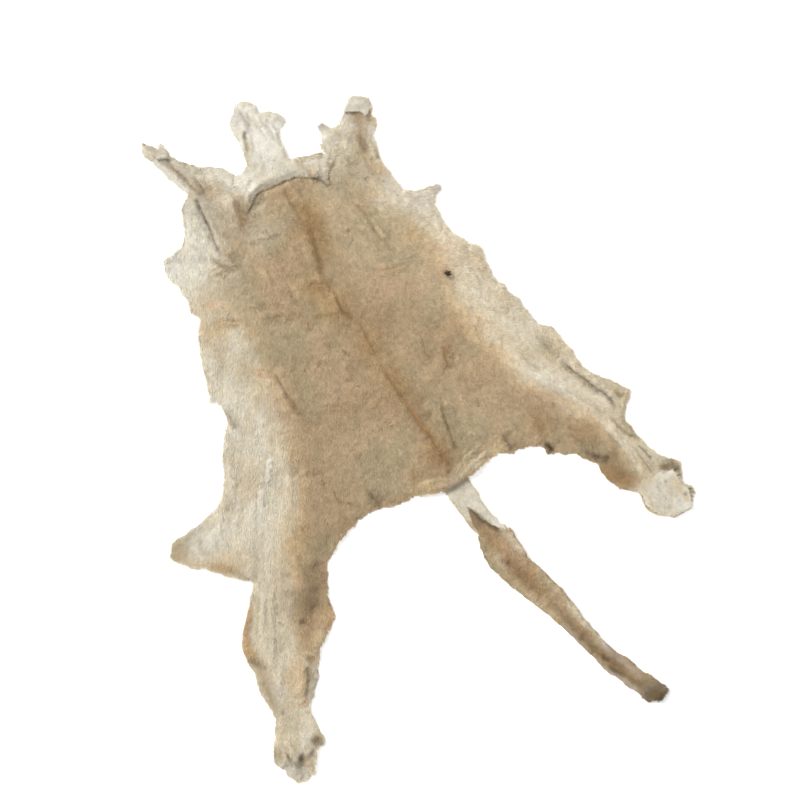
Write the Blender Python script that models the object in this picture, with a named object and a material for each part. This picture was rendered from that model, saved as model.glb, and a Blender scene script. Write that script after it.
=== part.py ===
"""Lion skin: one tanned hide with its coat on, laid out fur side up.

The dorsal line runs along Y with the neck towards +Y, +X is the animal's right side and +Z
is up. The tables are in millimetres from the point of the dorsal line midway between the cut
of the neck and the root of the tail. The mesh is in metres from a point on the floor under
the flat of the back, near the middle of the whole outline.

The hide is a thin sheet. Its middle surface is made of level layers, each with its own cut
edge, which soft bends join where the hide is folded over or under itself. Creases, swells
and curled edges raise the surface, and the sheet then gets its thickness.
"""

import math
import random
from typing import NamedTuple

import bmesh
import bpy
from mathutils import Vector
from mathutils.geometry import delaunay_2d_cdt

MILLIMETRE = 0.001
SEED = 11

# Where the mesh's origin lies, in the tables' millimetres
ORIGIN = Vector((-140.0, -280.0, 0.0))

# Thickness of the leather with its flattened coat, and of its thinner cut edge
THICKNESS = 6.0
EDGE_THICKNESS = 4.0
# Clear space between two layers of a fold, and from one layer's middle to the next one's
LAYER_GAP = 1.5
PITCH = THICKNESS + LAYER_GAP
FLOOR_LAYER = 0.5 * THICKNESS
BEND_STEPS = 4
# How far the outside of a bend lies beyond the edge that its two layers share
BEND_REACH = 0.5 * PITCH + 0.5 * THICKNESS

# Mesh spacing over the sheet and along its edges, and the least distance between points
GRID = 28.0
EDGE_STEP = 26.0
LEAST_SPACING = 9.0
RAGGED = 2.6

# A layer that lies over another one is raised this far beyond it, and then runs down
MARGIN = 26.0
RUN_DOWN = 70.0

# Curled stretches of the cut edge
CURL_HEIGHT = 7.0
CURL_WIDTH = 34.0
SEAM_REST = 45.0

# Tail: the tucked root, and how far the flattened tube stands up along its middle
TUCK_FRONT = -470.0
TUBE_CROWN = 7.0

# Looks
COAT_COLOUR = (0.47, 0.37, 0.24, 1.0)
COAT_ROUGHNESS = 0.85
SHARP_ANGLE = math.radians(50.0)

# Hole worn through the right flank
HOLE_CENTRE = (296.0, 35.0)
HOLE_LENGTH = 22.0
HOLE_WIDTH = 14.0
HOLE_TURN = math.radians(-59.0)
HOLE_SIDES = 8


class Across(NamedTuple):
    """A section straight across the hide at y, from its left edge to its right edge."""

    y: float
    left: float
    right: float


class Edge(NamedTuple):
    """A point of an edge that runs across the hide."""

    x: float
    y: float


class Doubled(NamedTuple):
    """A section across the folded left foreleg."""

    y: float
    flesh: float
    fur: float
    fold: float


class Crease(NamedTuple):
    """A fold line in the laid sheet, with its height and the reach to each side."""

    kind: str
    height: float
    width: float
    path: tuple


class Bump(NamedTuple):
    """A rounded lump, such as a toe."""

    x: float
    y: float
    height: float
    radius: float


TRUNK = (
    # y, left, right
    Across(500, -352, 305),
    Across(492, -420, 304),
    Across(465, -433, 299),
    Across(435, -434, 291),
    Across(412, -421, 288),
    Across(375, -420, 298),
    Across(345, -419, 304),
    Across(322, -426, 301),
    Across(302, -413, 324),
    Across(290, -413, 376),
    Across(275, -422, 396),
    Across(258, -435, 376),
    Across(235, -450, 358),
    Across(190, -466, 360),
    Across(165, -475, 358),
    Across(120, -487, 376),
    Across(82, -500, 388),
    Across(55, -493, 414),
    Across(30, -485, 412),
    Across(-10, -491, 407),
    Across(-35, -508, 404),
    Across(-75, -540, 421),
    Across(-115, -566, 432),
    Across(-130, -572, 443),
    Across(-165, -588, 438),
    Across(-200, -613, 447),
    Across(-228, -652, 452),
    Across(-245, -712, 470),
    Across(-258, -818, 489),
    Across(-287, -841, 491),
    Across(-320, -828, 495),
    Across(-345, -806, 502),
    Across(-370, -765, 500),
    Across(-400, -740, 502),
    Across(-440, -700, 521),
    Across(-475, -664, 548),
)

LEFT_HIND = (
    # y, left, right
    Across(-500, -687, -377),
    Across(-520, -706, -415),
    Across(-535, -718, -444),
    Across(-560, -742, -462),
    Across(-598, -776, -484),
    Across(-618, -791, -492),
    Across(-660, -799, -503),
    Across(-690, -803, -511),
    Across(-702, -802, -528),
    Across(-735, -803, -575),
    Across(-765, -814, -604),
    Across(-800, -817, -631),
    Across(-835, -813, -655),
    Across(-865, -816, -680),
    Across(-884, -829, -708),
    Across(-912, -846, -713),
    Across(-945, -868, -717),
    Across(-980, -885, -717),
    Across(-1001, -879, -726),
    Across(-1011, -871, -757),
    Across(-1032, -870, -771),
    Across(-1052, -858, -788),
    Across(-1064, -846, -808),
    Across(-1072, -834, -820),
)

RIGHT_HIND = (
    # y, left, right
    Across(-540, 255, 595),
    Across(-556, 283, 577),
    Across(-572, 281, 556),
    Across(-590, 296, 545),
    Across(-603, 325, 537),
    Across(-618, 358, 535),
    Across(-645, 373, 542),
    Across(-678, 402, 548),
    Across(-705, 401, 552),
    Across(-737, 403, 566),
    Across(-765, 418, 581),
    Across(-787, 433, 598),
    Across(-801, 450, 612),
    Across(-822, 467, 604),
    Across(-850, 466, 592),
    Across(-868, 463, 591),
    Across(-884, 466, 607),
    Across(-899, 480, 606),
    Across(-913, 491, 595),
    Across(-930, 506, 590),
    Across(-942, 518, 583),
)

# Rump from the left hind leg to the right one, with the tail's root under its middle
TAIL_ROOT_LEFT = Edge(-38, -521)
TAIL_ROOT_RIGHT = Edge(45, -522)
RUMP = (
    Edge(-345, -489),
    Edge(-322, -487),
    Edge(-305, -473),
    Edge(-262, -470),
    Edge(-240, -473),
    Edge(-200, -486),
    Edge(-150, -494),
    Edge(-100, -500),
    Edge(-70, -513),
    TAIL_ROOT_LEFT,
    Edge(4, -523),
    TAIL_ROOT_RIGHT,
    Edge(80, -522),
    Edge(110, -512),
    Edge(155, -510),
    Edge(188, -527),
    Edge(228, -532),
)

RIGHT_SHOULDER = (
    # y, left, right
    Across(515, 158, 317),
    Across(530, 159, 333),
    Across(547, 161, 337),
    Across(560, 168, 330),
    Across(572, 175, 342),
)

RIGHT_FORELEG = (
    # y, left, right
    Across(580, 235, 350),
    Across(593, 248, 353),
    Across(609, 268, 354),
    Across(624, 281, 338),
    Across(637, 298, 313),
)

INNER_TAB = (
    # y, left, right
    Across(584, 178, 206),
    Across(601, 178, 199),
)

# Front edge at the neck, from the right shoulder to the left foreleg. The neck band turns
# back from its two outer parts.
RIGHT_FRONT = (
    Edge(150, 538),
    Edge(125, 543),
    Edge(100, 552),
    Edge(75, 562),
    Edge(58, 568),
)
UNDER_TONGUE = (Edge(15, 585), Edge(-25, 600))
LEFT_FRONT = (
    Edge(-65, 611),
    Edge(-90, 602),
    Edge(-112, 606),
)

LEFT_FORELEG = (
    # y, flesh, fur, fold
    Doubled(631, -258, -247, -129),
    Doubled(652, -269, -252, -150),
    Doubled(668, -276, -257, -166),
    Doubled(680, -280, -260, -194),
    Doubled(706, -289, -268, -209),
    Doubled(728, -296, -273, -232),
    Doubled(752, -301, -283, -249),
    Doubled(784, -313, -296, -252),
    Doubled(789, -315, -297, -266),
    Doubled(806, -320, -300, -281),
)
FORELEG_TIP = Edge(-304, 827)
# The flesh-side layer under the left foreleg starts here on the fold, and its root is hidden
UNDERLAYER_FROM = Edge(-209, 706)
UNDERLAYER_ROOT = (Edge(-244, 616), Edge(-226, 640), Edge(-217, 676))

# Hollow between the left foreleg and the shoulder
LEFT_ARMPIT = (
    Edge(-262, 618),
    Edge(-284, 606),
    Edge(-300, 594),
    Edge(-308, 570),
    Edge(-323, 543),
    Edge(-340, 518),
)

TONGUE = (
    # y, left, right
    Across(640, -58, 59),
    Across(660, -52, 72),
    Across(673, -52, 103),
    Across(701, -51, 94),
    Across(722, -50, 72),
    Across(736, -52, 44),
    Across(753, -40, 48),
    Across(773, -19, 38),
    Across(788, -5, 19),
)

# Free edge of the neck band, which lies on the coat, from right to left
BAND_EDGE = (
    Edge(156, 505),
    Edge(132, 474),
    Edge(117, 446),
    Edge(103, 475),
    Edge(80, 493),
    Edge(55, 511),
    Edge(20, 519),
    Edge(-22, 524),
    Edge(-62, 530),
    Edge(-88, 526),
    Edge(-108, 513),
    Edge(-136, 498),
    Edge(-147, 532),
    Edge(-136, 576),
)

# The end of the right foreleg is turned over between these rows, and its free edge
CAP_RIGHT_ROW = 0
CAP_LEFT_ROW = 2
CAP_EDGE = (
    Edge(330, 568),
    Edge(316, 568),
    Edge(309, 587),
    Edge(290, 598),
)

# The right hind foot is turned back below this row
FOOT_FOLD_ROW = -2
TURNED_FOOT = (
    # y, left, right
    Across(-913, 495, 590),
    Across(-890, 477, 598),
    Across(-866, 468, 586),
    Across(-838, 472, 588),
    Across(-812, 470, 584),
)
TURNED_FOOT_TOP = (Edge(555, -798), Edge(528, -804), Edge(498, -799))

TAIL = (
    # y, left, right
    Across(-523, -38, 45),
    Across(-560, -34, 44),
    Across(-600, -30, 45),
    Across(-640, -26, 49),
    Across(-672, -22, 54),
    Across(-697, -20, 58),
)
TAIL_TUBE = (
    # y, left, right
    Across(-716, -23, 79),
    Across(-755, -32, 79),
    Across(-800, -28, 81),
    Across(-835, -18, 81),
    Across(-870, -5, 97),
    Across(-910, 12, 107),
    Across(-950, 28, 119),
    Across(-990, 42, 123),
    Across(-1040, 62, 131),
    Across(-1100, 80, 141),
    Across(-1160, 95, 153),
    Across(-1200, 107, 168),
    Across(-1245, 122, 191),
    Across(-1290, 143, 204),
    Across(-1330, 162, 229),
    Across(-1376, 173, 247),
)
TAIL_END = Edge(212, -1385)
# Slanting mouth of the tube, from its left side over the point to its right side
TUBE_MOUTH = (
    Edge(-14, -655),
    Edge(-8, -622),
    Edge(1, -600),
    Edge(10, -625),
    Edge(20, -655),
    Edge(33, -684),
    Edge(50, -705),
)

CREASES = (
    # kind, height, width, path
    Crease("trough", 4.0, 40, ((-5, 495), (0, 440), (4, 370), (-10, 300), (-28, 235))),
    Crease("trough", 4.5, 30, ((-62, 208), (-40, 196), (-18, 182))),
    Crease("trough", 4.0, 36, ((-30, 155), (-32, 110), (-18, 76), (-6, 20), (-10, -40))),
    Crease("trough", 4.5, 38, ((-10, -60), (-8, -180), (-1, -280), (5, -380), (4, -440))),
    Crease("trough", 5.0, 34, ((82, -285), (72, -335), (64, -385), (60, -430))),
    Crease("trough", 3.5, 30, ((166, -155), (158, -185), (148, -212))),
    Crease("trough", 4.0, 34, ((160, 372), (173, 325), (180, 285), (171, 212))),
    Crease("trough", 3.5, 36, ((-302, 45), (-298, -20), (-300, -62), (-288, -84))),
    Crease("ridge", 5.0, 34, ((-265, 205), (-205, 182), (-168, 158))),
    Crease("ridge", 4.0, 30, ((-142, 205), (-146, 150), (-152, 100))),
    Crease("trough", 9.0, 36, ((-243, 590), (-252, 548), (-260, 495), (-261, 440), (-258, 385))),
    Crease("ridge", 8.0, 24, ((-284, 560), (-292, 500), (-300, 445))),
    Crease("ridge", 6.0, 22, ((-318, 520), (-330, 470), (-322, 430))),
    Crease("trough", 6.0, 30, ((-304, 428), (-288, 398), (-264, 372))),
    Crease("ridge", 5.0, 30, ((325, -35), (350, -70), (384, -118), (412, -150))),
    Crease("step", 9.0, 34, ((536, -575), (521, -512), (500, -452), (468, -392), (436, -318))),
    Crease("ridge", 7.0, 24, ((500, -590), (516, -645), (524, -700), (536, -765))),
    Crease("ridge", 5.0, 30, ((352, -300), (400, -385), (455, -470), (492, -548))),
    Crease("trough", 6.0, 28, ((300, -515), (302, -545), (306, -572))),
    Crease("trough", 5.0, 30, ((-226, -455), (-231, -425), (-236, -395))),
    Crease("trough", 6.0, 30, ((196, -450), (196, -480), (199, -508))),
    Crease("ridge", 8.0, 26, ((-655, -770), (-683, -812), (-716, -852))),
    Crease("ridge", 6.0, 30, ((-640, -500), (-694, -590), (-735, -690), (-752, -790))),
    Crease("ridge", 5.0, 34, ((-470, -170), (-545, -265), (-640, -395))),
    Crease("ridge", 5.0, 34, ((-548, -140), (-640, -250), (-735, -335))),
    Crease("ridge", 9.0, 26, ((242, 566), (262, 530), (276, 480), (282, 440))),
    Crease("ridge", 5.0, 24, ((176, 570), (168, 535), (165, 500))),
    Crease("trough", 5.0, 26, ((-213, 668), (-208, 635), (-205, 600))),
)

BAND_CREASES = (
    # kind, height, width, path
    Crease("ridge", 5.0, 20, ((-128, 515), (-90, 538), (-55, 541), (0, 534), (62, 524))),
    Crease("ridge", 7.0, 18, ((92, 505), (112, 480))),
    Crease("ridge", 6.0, 18, ((-8, 765), (-18, 705), (-38, 650))),
    Crease("ridge", 7.0, 18, ((30, 770), (38, 705), (42, 630))),
    Crease("ridge", 5.0, 20, ((72, 712), (66, 680))),
)

BUMPS = (
    # x, y, height, radius
    Bump(-864, -984, 12, 26),
    Bump(-846, -1034, 12, 27),
    Bump(-800, -1026, 11, 26),
    Bump(-741, -984, 12, 26),
    Bump(-818, -958, 7, 34),
    Bump(592, -815, 8, 22),
    Bump(592, -892, 8, 20),
)


def smooth(value):
    """Runs softly from 0 to 1 as value does."""
    value = min(max(value, 0.0), 1.0)
    return value * value * (3.0 - 2.0 * value)


def lengths(path):
    """The distance along a path at each of its points."""
    found = [0.0]
    for a, b in zip(path, path[1:]):
        found.append(found[-1] + math.dist(a, b))
    return found


def nearest(path, x, y):
    """The distance from a point to a path, its signed side and how far along the path it is."""
    best = (math.inf, 1.0, 0.0)
    along = 0.0
    for (ax, ay), (bx, by) in zip(path, path[1:]):
        dx, dy = bx - ax, by - ay
        size = math.hypot(dx, dy)
        share = min(max(((x - ax) * dx + (y - ay) * dy) / size**2, 0.0), 1.0)
        away = math.hypot(x - ax - share * dx, y - ay - share * dy)
        if away < best[0]:
            side = 1.0 if dx * (y - ay) - dy * (x - ax) >= 0.0 else -1.0
            best = (away, side, along + share * size)
        along += size
    return best


def closed(outline):
    """The outline as a path that ends where it starts."""
    return [*outline, outline[0]]


def inside(outline, x, y):
    """Whether a point lies within a closed outline."""
    within = False
    for (ax, ay), (bx, by) in zip(outline, outline[1:] + outline[:1]):
        if (ay > y) != (by > y) and x < ax + (y - ay) * (bx - ax) / (by - ay):
            within = not within
    return within


def outside_by(outline, x, y):
    """How far a point lies outside a closed outline, or 0 within it."""
    return 0.0 if inside(outline, x, y) else nearest(closed(outline), x, y)[0]


def divided(path, step):
    """The path with points added so that none of its parts is longer than step."""
    found = [tuple(path[0])]
    for (ax, ay), (bx, by) in zip(path, path[1:]):
        parts = math.ceil(math.dist((ax, ay), (bx, by)) / step)
        for i in range(1, parts):
            found.append((ax + (bx - ax) * i / parts, ay + (by - ay) * i / parts))
        found.append((bx, by))
    return found


def ragged(path, chance):
    """The path divided to the edge spacing, with its added points moved a little."""
    kept = {tuple(point) for point in path}
    found = []
    for x, y in divided(path, EDGE_STEP):
        if (x, y) not in kept:
            x += chance.uniform(-RAGGED, RAGGED)
            y += chance.uniform(-RAGGED, RAGGED)
        found.append((x, y))
    return found


def down_left(rows):
    """The left ends of sections, from the first row to the last."""
    return [(row.left, row.y) for row in rows]


def up_right(rows):
    """The right ends of sections, from the last row to the first."""
    return [(row.right, row.y) for row in reversed(rows)]


def round_limb(rows):
    """The edge of a limb below its root, down its left side and up its right side."""
    return down_left(rows) + up_right(rows)


def crease_rise(crease, x, y):
    """How far one crease raises the sheet at a point."""
    away, side, along = nearest(crease.path, x, y)
    share = away / crease.width
    if share >= 1.0:
        return 0.0
    total = lengths(crease.path)[-1]
    ends = smooth(min(along, total - along) / (0.25 * total) + 0.25)
    if crease.kind == "ridge":
        shape = 0.5 + 0.5 * math.cos(math.pi * share)
    elif crease.kind == "trough":
        shape = math.sin(math.pi * share) ** 2
    else:
        shape = (0.5 + 0.5 * math.cos(math.pi * share)) if side > 0.0 else 0.0
    return crease.height * shape * ends


def relief(creases, x, y):
    """The rise of the creases at a point, where the highest one counts."""
    rise = max((crease_rise(crease, x, y) for crease in creases), default=0.0)
    for bump in BUMPS:
        share = math.dist((bump.x, bump.y), (x, y)) / bump.radius
        if share < 1.0:
            rise = max(rise, bump.height * (0.5 + 0.5 * math.cos(math.pi * share)))
    return rise


def crease_points(creases):
    """Points along each crease and its two feet, so that the mesh follows its form."""
    found = []
    for crease in creases:
        offsets = (3.0, -5.0) if crease.kind == "step" else (0.0,)
        offsets += (0.5 * crease.width, -0.5 * crease.width)
        path = divided(crease.path, 0.8 * GRID)
        for i, (x, y) in enumerate(path):
            ax, ay = path[max(i - 1, 0)]
            bx, by = path[min(i + 1, len(path) - 1)]
            size = math.dist((ax, ay), (bx, by))
            nx, ny = -(by - ay) / size, (bx - ax) / size
            found.extend((x + nx * off, y + ny * off) for off in offsets)
    return found


def curl(x, y):
    """How far the cut edge curls up near a point, which changes slowly along the edge."""
    wave = math.sin(x / 61.0 + 1.3) * math.cos(y / 83.0 - 0.6) + 0.5 * math.sin((x + y) / 37.0)
    return CURL_HEIGHT * smooth(wave - 0.1)


class Sheet:
    """The hide's middle surface, made of layers in plan that bends join."""

    def __init__(self):
        self.mesh = bmesh.new()
        self.chance = random.Random(SEED)

    def layer(self, outline, rise, creases=(), holes=(), spine=()):
        """Adds a level layer within an outline and returns its vertices by their place.

        rise gives the height of the middle surface at a point, and creases and spine say
        where the mesh needs points of its own.
        """
        edge = closed(outline)
        rims = [edge, *(closed(hole) for hole in holes)]
        points = list(outline)
        for hole in holes:
            points.extend(hole)
        loose = []

        def place(x, y, spacing, clearance):
            if not inside(outline, x, y) or any(inside(hole, x, y) for hole in holes):
                return
            if min(nearest(rim, x, y)[0] for rim in rims) < clearance:
                return
            if all(math.dist((x, y), other) >= spacing for other in loose):
                loose.append((x, y))

        for x, y in (*crease_points(creases), *spine):
            place(x, y, LEAST_SPACING, LEAST_SPACING)
        left, right = min(p[0] for p in outline), max(p[0] for p in outline)
        low, high = min(p[1] for p in outline), max(p[1] for p in outline)
        row_step = GRID * math.sqrt(0.75)
        first_row, last_row = math.floor(low / row_step), math.ceil(high / row_step)
        for row in range(first_row, last_row + 1):
            shift = 0.5 * GRID * (row % 2)
            for column in range(math.floor(left / GRID) - 1, math.ceil(right / GRID) + 1):
                x = column * GRID + shift + self.chance.uniform(-0.12, 0.12) * GRID
                y = row * row_step + self.chance.uniform(-0.12, 0.12) * GRID
                place(x, y, 0.66 * GRID, 0.45 * GRID)
        points.extend(loose)

        faces = [list(range(len(outline)))]
        start = len(outline)
        for hole in holes:
            faces.append(list(range(start, start + len(hole))))
            start += len(hole)
        cut = delaunay_2d_cdt([Vector(p) for p in points], [], faces, 1, 1e-4)
        coords, triangles, source_points, source_faces = cut[0], cut[2], cut[3], cut[5]
        verts, by_place = [], {}
        for coord, sources in zip(coords, source_points):
            x, y = points[sources[0]] if sources else coord
            vert = self.mesh.verts.new((x, y, rise(x, y)))
            verts.append(vert)
            by_place[(round(x, 3), round(y, 3))] = vert
        for triangle, sources in zip(triangles, source_faces):
            if 0 in sources and len(sources) == 1:
                self.mesh.faces.new([verts[i] for i in triangle])
        return by_place

    def bend(self, first, second, seam):
        """Joins two layers along a seam by a half round bend to the right of its direction."""
        rows = []
        for i, (x, y) in enumerate(seam):
            ax, ay = seam[max(i - 1, 0)]
            bx, by = seam[min(i + 1, len(seam) - 1)]
            size = math.dist((ax, ay), (bx, by))
            nx, ny = (by - ay) / size, (ax - bx) / size
            key = (round(x, 3), round(y, 3))
            low, high = first[key], second[key]
            middle, radius = 0.5 * (low.co.z + high.co.z), 0.5 * (low.co.z - high.co.z)
            row = [low]
            for step in range(1, BEND_STEPS):
                turn = math.pi * step / BEND_STEPS
                out = abs(radius) * math.sin(turn)
                place = (x + nx * out, y + ny * out, middle + radius * math.cos(turn))
                row.append(self.mesh.verts.new(place))
            rows.append([*row, high])
        for here, there in zip(rows, rows[1:]):
            for i in range(BEND_STEPS):
                self.mesh.faces.new((here[i], there[i], there[i + 1], here[i + 1]))

    def thicken(self):
        """Gives the sheet its thickness, thinner at its free edges, and closes its rim."""
        mesh = self.mesh
        loose = [vert for vert in mesh.verts if not vert.link_faces]
        bmesh.ops.delete(mesh, geom=loose, context="VERTS")
        bmesh.ops.recalc_face_normals(mesh, faces=mesh.faces)
        mesh.normal_update()
        rim = [edge for edge in mesh.edges if edge.is_boundary]
        normals = {vert: vert.normal.copy() for vert in mesh.verts}
        rim_verts = {vert for edge in rim for vert in edge.verts}
        copied = bmesh.ops.duplicate(mesh, geom=mesh.verts[:] + mesh.edges[:] + mesh.faces[:])
        twin = copied["vert_map"]
        bmesh.ops.reverse_faces(
            mesh, faces=[f for f in copied["geom"] if isinstance(f, bmesh.types.BMFace)]
        )
        for edge in rim:
            a, b = edge.verts
            mesh.faces.new((a, b, twin[b], twin[a]))
        for vert, normal in normals.items():
            half = 0.5 * (EDGE_THICKNESS if vert in rim_verts else THICKNESS)
            drop = 0.5 * THICKNESS - half
            centre = vert.co - Vector((0.0, 0.0, drop))
            vert.co = centre + normal * half
            twin[vert].co = centre - normal * half
        bmesh.ops.recalc_face_normals(mesh, faces=mesh.faces)


def hole_outline():
    """The rim of the worn hole."""
    found = []
    cosine, sine = math.cos(HOLE_TURN), math.sin(HOLE_TURN)
    for i in range(HOLE_SIDES):
        turn = 2.0 * math.pi * i / HOLE_SIDES
        along, across = 0.5 * HOLE_LENGTH * math.cos(turn), 0.5 * HOLE_WIDTH * math.sin(turn)
        x = HOLE_CENTRE[0] + along * cosine - across * sine
        y = HOLE_CENTRE[1] + along * sine + across * cosine
        found.append((x, y))
    return found


def folded(outline, folds):
    """Draws a layer's outline in where it is folded, by the reach of a bend.

    outline runs with the layer on its left, and folds gives the first and last point of each
    fold by name. Returns the new outline and the seam of each fold by the same names.
    """
    found, seams = list(outline), {}
    spans = {name: [outline.index(tuple(end)) for end in ends] for name, ends in folds.items()}
    for first, last in spans.values():
        for i in range(first, last + 1):
            ax, ay = outline[i - 1]
            bx, by = outline[(i + 1) % len(outline)]
            reach = BEND_REACH / math.dist((ax, ay), (bx, by))
            x, y = outline[i]
            found[i] = (x - (by - ay) * reach, y + (bx - ax) * reach)
    for name, (first, last) in spans.items():
        seams[name] = found[first : last + 1]
    return found, seams


class Plan:
    """The cut edge of every layer, and the seams where two layers share their edge."""

    def __init__(self):
        chance = random.Random(SEED)

        def free(start, points, end):
            """A free edge between two points that are already there, without them."""
            return ragged([start, *points, end], chance)[1:-1]

        lower, upper = RIGHT_FORELEG[CAP_RIGHT_ROW], RIGHT_FORELEG[CAP_LEFT_ROW]
        last = RIGHT_HIND[FOOT_FOLD_ROW]
        main_folds = {
            "rump": (TAIL_ROOT_LEFT, TAIL_ROOT_RIGHT),
            "foreleg": (UNDERLAYER_FROM, FORELEG_TIP),
            "right_front": (RIGHT_FRONT[0], RIGHT_FRONT[-1]),
            "left_front": (LEFT_FRONT[0], LEFT_FRONT[-1]),
            "cap": ((lower.right, lower.y), (upper.left, upper.y)),
            "foot": ((last.left, last.y), (last.right, last.y)),
        }
        outline = ragged(closed(main_outline()), chance)[:-1]
        self.main, seams = folded(outline, main_folds)
        self.main_seams = list(seams.values())
        self.hole = hole_outline()

        left = [(TAIL_ROOT_LEFT.x, TUCK_FRONT), *down_left(TAIL + TAIL_TUBE)]
        right = [*up_right(TAIL + TAIL_TUBE), (TAIL_ROOT_RIGHT.x, TUCK_FRONT)]
        outline = ragged([*left, TAIL_END, *right], chance) + free(right[-1], [], left[0])
        tail_folds = {
            "tail_left": ((TAIL[-1].left, TAIL[-1].y), left[-1]),
            "tail_right": (right[0], (TAIL_TUBE[0].right, TAIL_TUBE[0].y)),
        }
        self.tail_floor, tail_seams = folded(outline, tail_folds)
        seams.update(tail_seams)
        top = self.tail_floor.index(right[-1])
        seams["tuck"] = [*self.tail_floor[top:], self.tail_floor[0]]
        left_seam, right_seam = seams["tail_left"], seams["tail_right"]
        self.tail_top = [
            *left_seam,
            *free(left_seam[-1], [TAIL_END], right_seam[0]),
            *right_seam,
            *free(right_seam[-1], reversed(TUBE_MOUTH), left_seam[0]),
        ]

        rump, tuck = seams["rump"], seams["tuck"]
        self.tuck = [*rump, *free(rump[-1], [], tuck[0]), *tuck, *free(tuck[-1], [], rump[0])]

        fold = seams["foreleg"]
        flesh_side = [(row.flesh, row.y) for row in reversed(LEFT_FORELEG)]
        self.underlayer = [*fold, *free(fold[-1], [*flesh_side, *UNDERLAYER_ROOT], fold[0])]

        fold, other = seams["right_front"], seams["left_front"]
        tongue = [*reversed(up_right(TONGUE)), *reversed(down_left(TONGUE))]
        self.band = [
            *fold,
            *free(fold[-1], tongue, other[0]),
            *other,
            *free(other[-1], reversed(BAND_EDGE), fold[0]),
        ]

        fold = seams["cap"]
        self.cap = [*fold, *free(fold[-1], reversed(CAP_EDGE), fold[0])]

        fold = seams["foot"]
        foot_edge = [
            *reversed(up_right(TURNED_FOOT)),
            *TURNED_FOOT_TOP,
            *reversed(down_left(TURNED_FOOT)),
        ]
        self.foot = [*fold, *free(fold[-1], foot_edge, fold[0])]
        self.seams = seams


def main_outline():
    """The edge of the layer that lies fur side up, round from the left armpit."""
    return [
        *LEFT_ARMPIT,
        *down_left(TRUNK),
        *round_limb(LEFT_HIND),
        *RUMP,
        *round_limb(RIGHT_HIND),
        *up_right(TRUNK),
        *reversed(up_right(RIGHT_SHOULDER)),
        *reversed(up_right(RIGHT_FORELEG)),
        *reversed(down_left(RIGHT_FORELEG)),
        *reversed(up_right(INNER_TAB)),
        *reversed(down_left(INNER_TAB)),
        *reversed(down_left(RIGHT_SHOULDER)),
        *RIGHT_FRONT,
        *UNDER_TONGUE,
        *LEFT_FRONT,
        *[(row.fold, row.y) for row in LEFT_FORELEG],
        FORELEG_TIP,
        *[(row.fur, row.y) for row in reversed(LEFT_FORELEG)],
    ]


def main_rise(plan):
    """The height of the main layer: over what is folded under it, with creases and curls."""
    edge_path = closed(plan.main)

    def rise(x, y):
        height = FLOOR_LAYER
        for shape, levels in ((plan.tuck, 2), (plan.underlayer, 1)):
            away = outside_by(shape, x, y)
            height += levels * PITCH * smooth(1.0 - (away - MARGIN) / RUN_DOWN)
        free = min(outside_by(shape, x, y) for shape in (plan.band, plan.cap, plan.foot))
        height += relief(CREASES, x, y) * smooth(free / MARGIN - 1.0)
        seam = min(nearest(path, x, y)[0] for path in plan.main_seams)
        rest = min(seam, free + 0.5 * SEAM_REST)
        edge = nearest(edge_path, x, y)[0]
        curled = curl(x, y) * smooth(1.0 - edge / CURL_WIDTH)
        return height + curled * smooth(rest / SEAM_REST - 1.0)

    return rise


def band_rise(plan):
    """The height of the neck band on the coat, and of its strip, which runs to the floor."""

    def rise(x, y):
        past = outside_by(plan.main, x, y)
        level = 1.0 - smooth((past - MARGIN) / RUN_DOWN)
        folds = (plan.seams["left_front"], plan.seams["right_front"])
        seam = min(nearest(path, x, y)[0] for path in folds)
        return FLOOR_LAYER + PITCH * level + relief(BAND_CREASES, x, y) * smooth(seam / MARGIN)

    return rise


def tube_rise(plan):
    """The height of the tail tube's upper side, which is crowned between its two seams."""

    def rise(x, y):
        left = nearest(plan.seams["tail_left"], x, y)[0]
        right = nearest(plan.seams["tail_right"], x, y)[0]
        share = 4.0 * left * right / (left + right) ** 2
        return FLOOR_LAYER + PITCH + TUBE_CROWN * share

    return rise


def level(layers):
    """A level layer that lies on so many others."""
    return lambda x, y: FLOOR_LAYER + layers * PITCH


def tube_spine():
    """Points along the middle of the tail tube."""
    middle = [(0.5 * (row.left + row.right), row.y) for row in TAIL_TUBE]
    return divided(middle, GRID)


def build_hide():
    """Lays out every layer of the hide, joins them and gives the sheet its thickness."""
    plan = Plan()
    hide = Sheet()
    main = hide.layer(plan.main, main_rise(plan), CREASES, holes=[plan.hole])
    tuck = hide.layer(plan.tuck, level(1))
    tail_floor = hide.layer(plan.tail_floor, level(0))
    tail_top = hide.layer(plan.tail_top, tube_rise(plan), spine=tube_spine())
    underlayer = hide.layer(plan.underlayer, level(0))
    band = hide.layer(plan.band, band_rise(plan), BAND_CREASES)
    cap = hide.layer(plan.cap, level(1))
    foot = hide.layer(plan.foot, level(1))

    hide.bend(main, tuck, plan.seams["rump"])
    hide.bend(tuck, tail_floor, plan.seams["tuck"])
    hide.bend(tail_floor, tail_top, plan.seams["tail_left"])
    hide.bend(tail_floor, tail_top, plan.seams["tail_right"])
    hide.bend(main, underlayer, plan.seams["foreleg"])
    hide.bend(main, band, plan.seams["right_front"])
    hide.bend(main, band, plan.seams["left_front"])
    hide.bend(main, cap, plan.seams["cap"])
    hide.bend(main, foot, plan.seams["foot"])
    hide.thicken()
    return hide.mesh


def coat_material():
    """Sandy coat on tanned leather."""
    material = bpy.data.materials.new("sandy_coat")
    material.use_nodes = True
    shader = material.node_tree.nodes["Principled BSDF"]
    shader.inputs["Base Color"].default_value = COAT_COLOUR
    shader.inputs["Roughness"].default_value = COAT_ROUGHNESS
    shader.inputs["Metallic"].default_value = 0.0
    return material


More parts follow.
